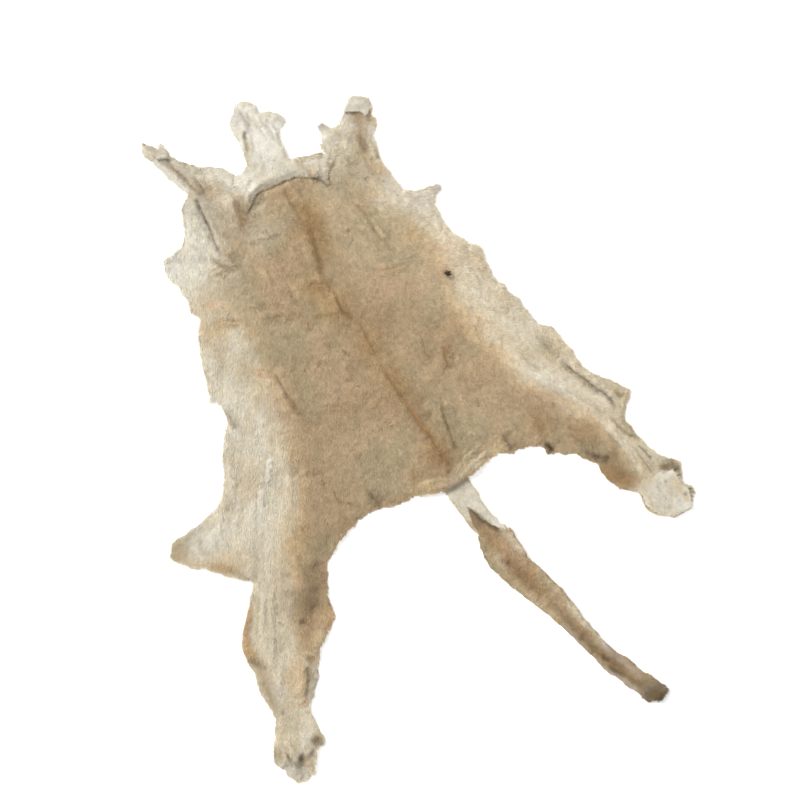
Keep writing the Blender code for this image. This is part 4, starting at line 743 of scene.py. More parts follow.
TUFTS = tuple(Tuft(*row) for row in (
    # tone, x, y, dx, dy, length, spread, hairs
    (STAIN_AND_SHADE, -92, -492, -0.3, -1.0, 14, 16, 160), (STRAW, -66, -500, -0.3, -1.0, 14, 16, 160),
    (CREAM, -44, -502, -0.1, -1.0, 12, 14, 160), (STRAW, 52, -504, 0.3, -1.0, 12, 14, 160),
    (CREAM, 84, -500, 0.2, -1.0, 12, 16, 160), (STRAW, 116, -494, 0.1, -1.0, 12, 18, 160),
    (STRAW, 150, -492, 0.3, -1.0, 12, 16, 160), (BROWN, 588, -796, 0.7, 0.2, 14, 8, 160),
    (UMBER, 594, -812, 0.9, -0.5, 13, 9, 160), (BROWN, 590, -834, 0.8, -0.9, 12, 9, 110),
    (ASH, 596, -888, 0.9, -0.3, 12, 8, 140), (STAIN_AND_SHADE, 596, -900, 0.7, -0.7, 12, 8, 120),
    (SAND, 572, -552, 0.6, -0.9, 13, 10, 140), (ASH, 178, -1358, 0.1, -1.0, 9, 8, 200),
    (UMBER, 184, -1360, 0.1, -1.0, 8, 6, 200), (UMBER, 198, -1361, 0.2, -1.0, 8, 6, 220),
    (DARK, 212, -1362, 0.2, -1.0, 8, 6, 180), (UMBER, 226, -1362, 0.3, -1.0, 8, 6, 220),
    (ASH, 238, -1360, 0.4, -1.0, 8, 6, 220), (ASH, 224, -1348, 0.5, -1.0, 12, 9, 200),
    (UMBER, 296, -578, -0.4, -0.8, 8, 8, 120), (CREAM, -846, -1052, -0.3, -0.9, 14, 12, 160),
    (CREAM, -800, -1054, 0.2, -0.9, 14, 12, 160), (LILAC, 190, 596, -0.2, 1.0, 18, 8, 200),
    # The DARK locks at (293, 40), (299, 36) and (303, 31) are dark hair laid as painted shade over
    # the hole.
    (DARK, 293, 40, 0.8, -0.5, 12, 7, 220), (DARK, 299, 36, -0.6, -0.2, 10, 6, 160),
    (DARK, 303, 31, -0.9, 0.2, 10, 5, 160), (CREAM, 163, 548, 1.0, -0.2, 15, 12, 240),
    (PALE, 163, 520, 1.0, -0.4, 15, 14, 260), (CREAM, 162, 492, 1.0, -0.5, 15, 14, 260),
    (SAND, 158, 466, 0.9, -0.7, 14, 12, 240), (SAND, 150, 492, 0.9, -0.5, 17, 14, 280),
    (SAND, 138, 466, 0.9, -0.6, 17, 12, 280), (FAWN, 126, 446, 0.8, -0.7, 15, 10, 240),
    (HONEY, -66, 524, 0.1, -1.0, 9, 13, 240), (HONEY, -42, 522, 0.0, -1.0, 9, 13, 240),
    (HONEY, -18, 519, 0.0, -1.0, 9, 13, 240), (SAND, 6, 516, 0.0, -1.0, 9, 13, 240),
    (SAND, 30, 512, -0.1, -1.0, 9, 12, 220), (OLIVE, -830, -285, -1.0, -0.1, 8, 16, 160),
    (LILAC, 392, 272, 1.0, -0.1, 18, 10, 200), (CREAM, 392, 60, 1.0, -0.2, 18, 18, 220),
    (PALE, -495, 60, -1.0, -0.5, 16, 14, 200), (PALE, -262, 786, 0.4, 1.0, 16, 10, 160),
))


def smooth(value: np.ndarray) -> np.ndarray:
    """Runs softly from 0 to 1 as value does."""
    value = np.clip(value, 0.0, 1.0)
    return value * value * (3.0 - 2.0 * value)


def path_distance(points: np.ndarray, path: tuple) -> tuple[np.ndarray, np.ndarray, np.ndarray]:
    """Measures how points lie to a path.

    Args:
        points: Places in the plan, one a row.
        path: The path's corners.

    Returns:
        The distance, the side (1 on the left, -1 on the right) and the share of the way along.
    """
    corners = np.array(path, float)
    steps = np.diff(corners, axis=0)
    sizes = np.linalg.norm(steps, axis=1)
    starts = np.concatenate(([0.0], np.cumsum(sizes)))
    best = np.full(len(points), np.inf)
    side, along = np.ones(len(points)), np.zeros(len(points))
    for corner, step, size, start in zip(corners, steps, sizes, starts):
        rel = points - corner
        share = np.clip(rel @ step / size**2, 0.0, 1.0)
        away = np.linalg.norm(rel - share[:, None] * step, axis=1)
        nearer = away < best
        best = np.where(nearer, away, best)
        turn = step[0] * rel[:, 1] - step[1] * rel[:, 0]
        side = np.where(nearer, np.where(turn >= 0.0, 1.0, -1.0), side)
        along = np.where(nearer, (start + share * size) / starts[-1], along)
    return best, side, along


def close_to(points: np.ndarray, path: tuple, reach: float) -> np.ndarray:
    """Finds the points in a path's own box, made wider by a reach.

    Args:
        points: Places in the plan, one a row.
        path: The path's corners.
        reach: How much wider the box is on each side, in millimetres.

    Returns:
        The numbers of these points.
    """
    corners = np.array(path, float)
    low, high = corners.min(0) - reach, corners.max(0) + reach
    return np.flatnonzero(np.all((points > low) & (points < high), axis=1))


def lattice_noise(points: np.ndarray, size: float, seed: int) -> np.ndarray:
    """Smooth noise from -1 to 1 over the plan.

    Args:
        points: Places in the plan, one a row.
        size: The spacing of the noise's own lattice in millimetres.
        seed: Picks one of many such noises.

    Returns:
        One value for each point.
    """
    values = np.random.default_rng(seed).uniform(-1.0, 1.0, (LATTICE_CELLS, LATTICE_CELLS))
    place = points / size + LATTICE_OFFSET * LATTICE_CELLS
    low = np.floor(place).astype(int)
    share = smooth(place - low)
    i, j = low[:, 0] % LATTICE_CELLS, low[:, 1] % LATTICE_CELLS
    i1, j1 = (i + 1) % LATTICE_CELLS, (j + 1) % LATTICE_CELLS
    sx, sy = share[:, 0], share[:, 1]
    near = values[i, j] * (1.0 - sx) + values[i1, j] * sx
    far = values[i, j1] * (1.0 - sx) + values[i1, j1] * sx
    return near * (1.0 - sy) + far * sy


def drawn_out(points: np.ndarray, heading: tuple, stretch: float) -> np.ndarray:
    """Turns points into axes along and across a heading, shortened along it.

    Args:
        points: Places in the plan, one a row.
        heading: The direction to follow.
        stretch: How many times longer the noise is along the heading than across it.

    Returns:
        The place of each point in these axes.
    """
    along = np.array(heading) / math.hypot(*heading)
    across = np.array((-along[1], along[0]))
    return np.column_stack((points @ along / stretch, points @ across))


def to_plan(places: np.ndarray) -> np.ndarray:
    """Turns frame places in metres into plan places in millimetres, without their height."""
    return places[:, :2] / MM + PLAN_ORIGIN


@dataclass
class Markings:
    """The tones of the coat and of the flesh side over the plan, with sizes in millimetres."""

    flank_softness: float = 34.0
    blotch_size: float = 76.0
    blotch_wander: float = 18.0
    jitter_wander: float = 12.0
    fleck_size: float = 13.0
    strand_width: float = 12.0
    strand_stretch: float = 6.0
    left_heading: tuple = (-0.56, -0.83)
    right_heading: tuple = (0.45, -0.89)
    belly_width: float = 50.0
    cloud_size: float = 36.0
    speck_size: float = 9.0
    line_share: float = 0.5
    step_line_share: float = 0.42

    def mix(self, tones: np.ndarray, tone: Tone, share: np.ndarray) -> None:
        """Mixes a tone into tones by the given shares."""
        tones += (tone.linear() - tones) * share[:, None]

    def add_patch(self, tones: np.ndarray, points: np.ndarray, patch: Patch) -> None:
        """Paints a patch on the tones of the points near it.

        Args:
            tones: The linear colours to paint on, one a row.
            points: The place in the plan of each of them.
            patch: What to paint.
        """
        reach = MARK_REACH * max(patch.length, patch.width)
        near = close_to(points, ((patch.x, patch.y), (patch.x, patch.y)), reach)
        turn = math.radians(patch.turn)
        rel = points[near] - np.array((patch.x, patch.y))
        along = rel @ np.array((math.cos(turn), math.sin(turn)))
        across = rel @ np.array((-math.sin(turn), math.cos(turn)))
        away = np.hypot(along / patch.length, across / patch.width)
        part = tones[near]
        self.mix(part, patch.tone, patch.strength * np.exp(-(away**2)))
        tones[near] = part

    def add_line(self, tones: np.ndarray, points: np.ndarray, streak: Streak) -> None:
        """Paints a streak, fading at its ends, on the tones of the points near it.

        Args:
            tones: The linear colours to paint on, one a row.
            points: The place in the plan of each of them.
            streak: What to paint.
        """
        near = close_to(points, streak.path, MARK_REACH * streak.width)
        away, _, along = path_distance(points[near], streak.path)
        ends = smooth(np.minimum(along, 1.0 - along) / 0.15 + 0.35)
        part = tones[near]
        self.mix(part, streak.tone, streak.strength * np.exp(-((away / streak.width) ** 2)) * ends)
        tones[near] = part

    def past_flank(self, points: np.ndarray) -> np.ndarray:
        """Measures how far points lie outside the tan of the back.

        Args:
            points: Places in the plan, one a row.

        Returns:
            The distance in millimetres, less than 0 on the back.
        """
        rows = np.array([(row.y, row.left, row.right) for row in reversed(FLANKS)], float)
        past_left = np.interp(points[:, 1], rows[:, 0], rows[:, 1]) - points[:, 0]
        past_right = points[:, 0] - np.interp(points[:, 1], rows[:, 0], rows[:, 2])
        return np.maximum(past_left, past_right)

    def folds_on(self, tones: np.ndarray, points: np.ndarray) -> None:
        """Paints the tones along the folds: partly painted crease shade in the troughs and steps,
        partly painted highlight on the ridges.

        Args:
            tones: The linear colours to paint on, one a row.
            points: The place in the plan of each of them.
        """
        for fold in FOLDS:
            share = self.step_line_share if fold.form is Form.STEP else self.line_share
            line = Streak(fold.tone, fold.strength, fold.width * share, fold.path)
            self.add_line(tones, points, line)

    def coat(self, points: np.ndarray) -> np.ndarray:
        """Paints the coat: blotches, flanks, strands, patches, streaks, folds and flecks, with
        some painted shade and light among the patches and the fold tones.

        Args:
            points: Places in the plan, one a row.

        Returns:
            The coat's linear colour at each point.
        """
        blotch = lattice_noise(points, self.blotch_size, SEED)
        second = lattice_noise(points, 0.6 * self.blotch_size, SEED + 12)
        jitter = lattice_noise(points, 0.3 * self.blotch_size, SEED + 1)
        past = self.past_flank(points) + self.blotch_wander * blotch + self.jitter_wander * jitter
        cream = smooth(past / self.flank_softness * 0.5 + 0.5)
        tones = np.tile(Tone.TAN.linear(), (len(points), 1))
        self.mix(tones, Tone.OLIVE, 0.5 * smooth(blotch * 1.1 + 0.3))
        self.mix(tones, Tone.FAWN, 0.38 * smooth(second * 1.1 + 0.25))
        self.mix(tones, Tone.HONEY, 0.6 * smooth(1.0 - np.abs(past + 4.0) / 42.0))
        self.mix(tones, Tone.CREAM, cream * smooth(past / 60.0 + 0.45))
        left, right = (
            lattice_noise(
                drawn_out(points, heading, self.strand_stretch), self.strand_width, SEED + seed
            )
            for heading, seed in ((self.left_heading, 13), (self.right_heading, 14))
        )
        strand = np.where(points[:, 0] < 0.0, left, right)
        belly = smooth(past / self.belly_width)
        self.mix(tones, Tone.PALE, belly * (0.35 + 0.5 * smooth(strand * 0.9 + 0.3)))
        self.mix(tones, Tone.SAND, belly * 0.55 * smooth(-strand * 0.9 - 0.05))
        self.mix(tones, Tone.HONEY, belly * 0.35 * smooth(jitter * 1.2 - 0.2))
        for patch in COAT_PATCHES:
            self.add_patch(tones, points, patch)
        for streak in TAIL_STREAKS:
            self.add_line(tones, points, streak)
        self.folds_on(tones, points)
        fleck = lattice_noise(points, self.fleck_size, SEED + 2)
        fine = lattice_noise(points, 0.45 * self.fleck_size, SEED + 15)
        back = 1.0 - 0.5 * belly
        return tones * (1.0 + back * (0.09 * fleck + 0.08 * fine) + 0.04 * second)[:, None]

    def flesh(self, points: np.ndarray) -> np.ndarray:
        """Paints the flesh side with its clouds, stains, streaks and specks, some of the darker
        streaks being painted shade.

        Args:
            points: Places in the plan, one a row.

        Returns:
            The flesh side's linear colour at each point.
        """
        tones = np.tile(Tone.FLESH.linear(), (len(points), 1))
        cloud = lattice_noise(points, self.cloud_size, SEED + 3)
        self.mix(tones, Tone.CHALK, 0.8 * smooth(cloud * 0.9 + 0.2))
        self.mix(tones, Tone.STAIN_AND_SHADE, 0.35 * smooth(-cloud * 0.9 - 0.1))
        for streak in FLESH_STREAKS:
            self.add_line(tones, points, streak)
        speck = lattice_noise(points, self.speck_size, SEED + 4)
        return tones * (1.0 + 0.07 * speck)[:, None]


@dataclass
class Leather:
    """The tanned sheet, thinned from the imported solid, with its fine folds and tones.

    Sizes are in millimetres. Limits of places are in the plan.
    """

    coat_depth: float = 3.0
    rim_depth: float = 1.6
    longest_edge: float = 8.4
    longest_under: float = 70.0
    rim_turn: float = math.radians(62.0)
    flat_limit: float = math.radians(16.0)
    smoothings: int = 4
    wobble: float = 3.4
    drawn_in: float = 1.6
    swell: float = 1.7
    swell_sizes: tuple = (120.0, 26.0, 13.0)
    ripple_heading: tuple = (0.34, 0.94)
    ripple_stretch: float = 2.2
    rest: float = 14.0
    highest: float = 29.0
    rise_start: float = 0.4
    rise_reach: float = 60.0
    fray_slow: float = 24.0
    fray_fast: float = 9.0
    rump_drawn: float = 4.0
    rump_top: float = -380.0
    rump_sides: tuple = (-460.0, 320.0)
    front_low: float = 430.0
    front_high: float = 560.0
    front_half: float = 175.0
    tail_from: float = -466.0
    behind_left: float = -100.0
    behind_low: float = -600.0
    rump_edge: float = -528.0
    tail_root_half: float = 70.0
    tail_floor_top: float = 7.2
    tail_sides: tuple = (-60.0, 250.0, 270.0)
    tail_slant: float = 0.15
    tail_slant_from: float = -700.0
    tail_upper_right: float = 120.0
    tail_upper_low: float = -760.0
    band_left: float = -112.0
    band_right: float = 84.0
    band_end: float = 200.0
    band_low: float = 430.0
    band_high: float = 585.0
    band_drift: float = 14.0
    band_slant: float = 0.4
    band_slant_from: float = 520.0

    def __post_init__(self) -> None:
        """Starts with an empty mesh."""
        self.mesh = bmesh.new()
        self.side = self.mesh.faces.layers.int.new("side")

    def flood(self, seed: bmesh.types.BMFace, side: Side) -> None:
        """Marks the surface around a face, up to the rim.

        Args:
            seed: A face of that surface.
            side: What the surface is.
        """
        seed[self.side] = side.value
        waiting = [seed]
        while waiting:
            for edge in waiting.pop().edges:
                if edge.calc_face_angle(math.pi) > self.rim_turn:
                    continue
                for face in edge.link_faces:
                    if face[self.side] == Side.RIM.value:
                        face[self.side] = side.value
                        waiting.append(face)

    def mark_sides(self) -> None:
        """Tells the fur side, the flesh side and the cut rim apart."""
        for face in self.mesh.faces:
            face[self.side] = Side.RIM.value
        level = [face for face in self.mesh.faces if abs(face.normal.z) > 0.9999]
        widest_up = max((f for f in level if f.normal.z > 0), key=lambda f: f.calc_area())
        widest_down = max((f for f in level if f.normal.z < 0), key=lambda f: f.calc_area())
        self.flood(widest_up, Side.FUR)
        self.flood(widest_down, Side.FLESH)

    def turn_tail(self) -> None:
        """Gives the tail its fur outside, since its root is turned over under the rump."""
        other = {Side.FUR.value: Side.FLESH.value, Side.FLESH.value: Side.FUR.value}
        for face in self.mesh.faces:
            centre = face.calc_center_median() / MM
            x, y = centre.x + PLAN_ORIGIN[0], centre.y + PLAN_ORIGIN[1]
            root = abs(x) < self.tail_root_half and y < self.tail_from
            low = root and centre.z < self.tail_floor_top
            left, right, limit = self.tail_sides
            slanted = right - self.tail_slant * (y - self.tail_slant_from)
            tail = y < self.rump_edge and left < x < slanted and x < limit
            if low or (tail and (x < self.tail_upper_right or y < self.tail_upper_low)):
                face[self.side] = other.get(face[self.side], face[self.side])

    def fur_band_ends(self) -> None:
        """Gives the two ends of the turned-back neck band the coat of the shoulders."""
        for face in self.mesh.faces:
            if face[self.side] != Side.FLESH.value or face.normal.z < FACING_UP:
                continue
            centre = face.calc_center_median() / MM
            x, y = centre.x + PLAN_ORIGIN[0], centre.y + PLAN_ORIGIN[1]
            drift = self.band_drift * noise.noise(Vector((x, y, 0.0)) / self.band_drift)
            slant = self.band_slant * (y - self.band_slant_from)
            left = x < self.band_left + drift + slant
            right = x > self.band_right + drift
            if self.band_low < y < self.band_high and (left or right) and x < self.band_end:
                face[self.side] = Side.FUR.value

    def sides_of(self, vert: bmesh.types.BMVert) -> set[int]:
        """Returns the surfaces that a vertex belongs to."""
        return {face[self.side] for face in vert.link_faces}

    def thin(self) -> None:
        """Takes the depth of the coat off the fur side, and less of it at the rim."""
        moves = {}
        for vert in self.mesh.verts:
            sides = self.sides_of(vert)
            if Side.FUR.value not in sides:
                continue
            if Side.RIM.value not in sides:
                moves[vert] = -vert.normal * self.coat_depth * MM
                continue
            partners = [
                edge.other_vert(vert)
                for edge in vert.link_edges
                if Side.FUR.value not in self.sides_of(edge.other_vert(vert))
            ]
            if partners:
                nearest = min(partners, key=lambda other: (other.co - vert.co).length)
                moves[vert] = (nearest.co - vert.co).normalized() * self.rim_depth * MM
        for vert, move in moves.items():
            vert.co += move

    def split_long(self, faces: list, longest: float) -> None:
        """Halves the long edges of some faces and turns the flat ones to even triangles.

        Args:
            faces: The faces to work on.
            longest: The longest edge that may stay, in metres.
        """
        edges = dict.fromkeys(edge for face in faces for edge in face.edges)
        long_edges = [edge for edge in edges if edge.calc_length() > longest]
        if not long_edges:
            return
        bmesh.ops.subdivide_edges(self.mesh, edges=long_edges, cuts=1)
        many = [face for face in self.mesh.faces if len(face.verts) > 3]
        bmesh.ops.triangulate(self.mesh, faces=many)
        flat = [
            edge
            for edge in self.mesh.edges
            if len(edge.link_faces) == 2
            and edge.link_faces[0][self.side] == edge.link_faces[1][self.side]
            and edge.calc_face_angle(math.pi) < self.flat_limit
        ]
        around = list(dict.fromkeys(face for edge in flat for face in edge.link_faces))
        bmesh.ops.beautify_fill(self.mesh, faces=around, edges=flat, method="ANGLE")

    def refine(self) -> None:
        """Gives the upper faces an even fine mesh and the others a coarser one."""
        longest = 8.0 * self.longest_edge
        while longest >= self.longest_edge:
            for _ in range(4):
                upper = [face for face in self.mesh.faces if face.normal.z > FACING_UP]
                self.split_long(upper, longest * MM)
            longest *= 0.5
        under = [face for face in self.mesh.faces if face.normal.z <= FACING_UP]
        self.split_long(under, self.longest_under * MM)

    def soften(self) -> None:
        """Rounds the creases of the upper faces by moving their points up and down."""
        self.mesh.normal_update()
        loose = [
            vert
            for vert in self.mesh.verts
            if vert.normal.z > 0.8 and Side.RIM.value not in self.sides_of(vert)
        ]
        for _ in range(self.smoothings):
            bmesh.ops.smooth_vert(
                self.mesh,
                verts=loose,
                factor=0.5,
                use_axis_x=False,
                use_axis_y=False,
                use_axis_z=True,
            )

    def fray(self) -> None:
        """Makes the cut edge uneven and draws it in, so that its fringe ends at the outline."""
        # Without a number of its own this noise starts from the clock and differs in each run
        noise.seed_set(SEED)
        for vert in self.mesh.verts:
            if all(face.normal.z < -FACING_UP for face in vert.link_faces):
                continue
            place = Vector((vert.co.x, vert.co.y, 0.0)) / MM
            slow = noise.noise_vector(place / self.fray_slow)
            fast = noise.noise_vector(place / self.fray_fast)
            move = (slow + 0.5 * fast) * self.wobble * MM
            outward = Vector((vert.normal.x, vert.normal.y, 0.0))
            if outward.length > 0.2 and Side.RIM.value in self.sides_of(vert):
                x, y = place.x + PLAN_ORIGIN[0], place.y + PLAN_ORIGIN[1]
                move -= outward.normalized() * self.inward(x, y) * MM
            vert.co.x += move.x
            vert.co.y += move.y

    def inward(self, x: float, y: float) -> float:
        """Says how far the cut edge is drawn in at a place.

        Args:
            x: How far right of the dorsal line the place lies, in millimetres.
            y: How far towards the neck it lies, in millimetres.

        Returns:
            The distance in millimetres, which is 0 in front, at the tail and at the right foot.
        """
        foreleg = y > self.front_high and x < self.front_half
        neck = y > self.front_low and abs(x) < self.front_half
        tail_root = y < self.tail_from and abs(x) < self.tail_root_half
        behind = x > self.behind_left and y < self.behind_low
        if foreleg or neck or tail_root or behind:
            return 0.0
        rump = y < self.rump_top and self.rump_sides[0] < x < self.rump_sides[1]
        return self.drawn_in * (self.rump_drawn if rump else 1.0)

    def fold_height(self, points: np.ndarray) -> np.ndarray:
        """Finds how far the fine folds raise the sheet.

        Args:
            points: Places in the plan, one a row.

        Returns:
            The height at each point in millimetres.
        """
        height = np.zeros(len(points))
        for fold in FOLDS:
            near = close_to(points, fold.path, FOLD_REACH * fold.width)
            away, side, along = path_distance(points[near], fold.path)
            share = away / fold.width
            ends = smooth(np.minimum(along, 1.0 - along) / 0.3 + 0.1)
            if fold.form is Form.TROUGH:
                shape = np.sin(math.pi * np.clip(share / 1.6, 0.0, 1.0) ** 0.7) ** 2
            else:
                shape = 0.5 + 0.5 * np.cos(math.pi * np.clip(share, 0.0, 1.0))
            if fold.form is Form.STEP:
                shape = np.where(side > 0.0, shape, 0.0)
            height[near] = np.maximum(height[near], fold.height * shape * ends)
        return height

    def swell_height(self, points: np.ndarray) -> np.ndarray:
        """Finds the broad and the small swells of the sheet.

        Args:
            points: Places in the plan, one a row.

        Returns:
            The height at each point in millimetres.
        """
        broad_size, ripple_size, small_size = self.swell_sizes
        drawn = drawn_out(points, self.ripple_heading, self.ripple_stretch)
        broad = lattice_noise(points, broad_size, SEED + 5)
        ripple = lattice_noise(drawn, ripple_size, SEED + 6)
        small = lattice_noise(points, small_size, SEED + 7)
        return self.swell * (0.9 + 0.6 * broad + 0.5 * ripple + 0.2 * small)

    def raise_folds(self) -> None:
        """Adds the fine folds and swells where nothing lies on the sheet."""
        self.mesh.verts.ensure_lookup_table()
        self.mesh.normal_update()
        tree = BVHTree.FromBMesh(self.mesh)
        rims = [v for v in self.mesh.verts if Side.RIM.value in self.sides_of(v)]
        near_rim = KDTree(len(rims))
        for i, vert in enumerate(rims):
            near_rim.insert(vert.co, i)
        near_rim.balance()
        points = to_plan(np.array([vert.co for vert in self.mesh.verts]))
        rim_distance = np.array([near_rim.find(v.co)[2] for v in self.mesh.verts]) / MM
        start, reach = Vector((0.0, 0.0, self.rise_start * MM)), self.rise_reach * MM
        steep = np.array([vert.normal.z for vert in self.mesh.verts])
        self.covered = np.array(
            [
                vert.normal.z > -FACING_UP
                and tree.ray_cast(vert.co + start, UP, reach)[0] is not None
                for vert in self.mesh.verts
            ]
        )
        open_to_sky = np.where(self.covered, 0.0, smooth((steep - 0.6) / 0.3))
        share = open_to_sky * smooth(rim_distance / self.rest)
        height = self.fold_height(points) + self.swell_height(points)
        for vert, rise in zip(self.mesh.verts, height * share * MM):
            vert.co.z = min(vert.co.z + rise, self.highest * MM)

    def build(self, markings: Markings) -> bpy.types.Object:
        """Makes the sheet and dresses it.

        Args:
            markings: The tones to paint on it.

        Returns:
            The finished piece.
        """
        self.mesh.from_mesh(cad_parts[NODE].data)
        bmesh.ops.remove_doubles(self.mesh, verts=self.mesh.verts, dist=0.01 * MM)
        self.mesh.normal_update()
        self.mark_sides()
        self.thin()
        self.turn_tail()
        self.refine()
        self.fur_band_ends()
        self.soften()
        self.fray()
        self.raise_folds()
        self.mesh.normal_update()
        self.mesh.verts.ensure_lookup_table()
        data = bpy.data.meshes.new("leather")
        for face in self.mesh.faces:
            face.smooth = face.normal.z > -FACING_UP
            face.material_index = face[self.side]
        for edge in self.mesh.edges:
            edge.smooth = len({face[self.side] for face in edge.link_faces}) == 1
        self.mesh.to_mesh(data)
        self.places = np.array([vert.co for vert in self.mesh.verts])
        self.normals = np.array([vert.normal for vert in self.mesh.verts])
        self.gather()
        points = to_plan(self.places)
        paint(data, "coat", markings.coat(points))
        paint(data, "flesh", markings.flesh(points))
        piece = bpy.data.objects.new("leather", data)
        bpy.context.scene.collection.objects.link(piece)
        for material in (GroundFinish().make(), FleshFinish().make(), RimFinish().make()):
            data.materials.append(material)
        LOG.info("leather: %d faces", len(data.polygons))
        self.mesh.free()
        return piece

    def gather(self) -> None:
        """Keeps what the coat needs to know: the open triangles and the cut edges."""
        fur, flesh, rim = [], [], []
        for face in self.mesh.faces:
            corners = [vert.index for vert in face.verts]
            if self.covered[corners].any() or face.normal.z < -0.25:
                continue
            if face[self.side] == Side.FUR.value:
                fur.append(corners)
            elif face[self.side] == Side.FLESH.value and face.normal.z > FACING_UP:
                flesh.append(corners)
        for edge in self.mesh.edges:
            faces = {face[self.side]: face for face in edge.link_faces}
            if len(faces) != 2 or Side.RIM.value not in faces:
                continue
            inner = next(face for side, face in faces.items() if side != Side.RIM.value)
            a, b = (vert.index for vert in edge.verts)
            if self.covered[a] or self.covered[b] or inner.normal.z < 0.2:
                continue
            out = (edge.verts[0].co + edge.verts[1].co) / 2 - inner.calc_center_median()
            rim.append((a, b, out.x, out.y, float(inner[self.side])))
        self.fur_triangles = np.array(fur)
        self.flesh_triangles = np.array(flesh)
        self.rim_edges = np.array(rim)


def paint(data: bpy.types.Mesh, name: str, tones: np.ndarray) -> None:
    """Stores a linear colour for each point of a mesh.

    Args:
        data: The mesh.
        name: The name to store the colours under.
        tones: The linear colours, one a row.
    """
    layer = data.color_attributes.new(name, "FLOAT_COLOR", "POINT")
    full = np.ones((len(tones), 4), np.float32)
    full[:, :3] = np.clip(tones, 0.0, 1.0)
    layer.data.foreach_set("color", full.ravel())


@dataclass
class Locks:
    """Many small flat locks of hair, each a narrow triangle from its root to its tip."""

    roots: np.ndarray
    sides: np.ndarray
    tips: np.ndarray
    root_tones: np.ndarray
    tip_tones: np.ndarray

    def part(self, which: slice) -> "Locks":
        """Returns some of the locks."""
        return Locks(*(getattr(self, field.name)[which] for field in fields(self)))

    @staticmethod
    def joined(parts: list["Locks"]) -> "Locks":
        """Returns all the locks of several groups as one."""
        names = [field.name for field in fields(Locks)]
        return Locks(*(np.concatenate([getattr(part, name) for part in parts]) for name in names))

    def piece(self, name: str) -> bpy.types.Object:
        """Makes the locks one object, with its plan as its map.

        Args:
            name: The object's name.

        Returns:
            The object.
        """
        count = len(self.roots)
        corners = np.stack((self.roots - self.sides, self.roots + self.sides, self.tips), axis=1)
        corners = corners.reshape(-1, 3)
        data = bpy.data.meshes.new(name)
        data.vertices.add(3 * count)
        data.vertices.foreach_set("co", corners.astype(np.float32).ravel())
        data.loops.add(3 * count)
        data.loops.foreach_set("vertex_index", np.arange(3 * count, dtype=np.int32))
        data.polygons.add(count)
        data.polygons.foreach_set("loop_start", np.arange(0, 3 * count, 3, dtype=np.int32))
        data.update(calc_edges=True)
        tones = np.stack((self.root_tones, self.root_tones, self.tip_tones), axis=1)
        paint(data, "coat", tones.reshape(-1, 3))
        low, high = corners[:, :2].min(0), corners[:, :2].max(0)
        plan = ((corners[:, :2] - low) / (high - low)).astype(np.float32)
        data.uv_layers.new(name="OFBake").data.foreach_set("uv", plan.ravel())
        made = bpy.data.objects.new(name, data)
        bpy.context.scene.collection.objects.link(made)
        LOG.info("%s: %d locks", name, count)
        return made


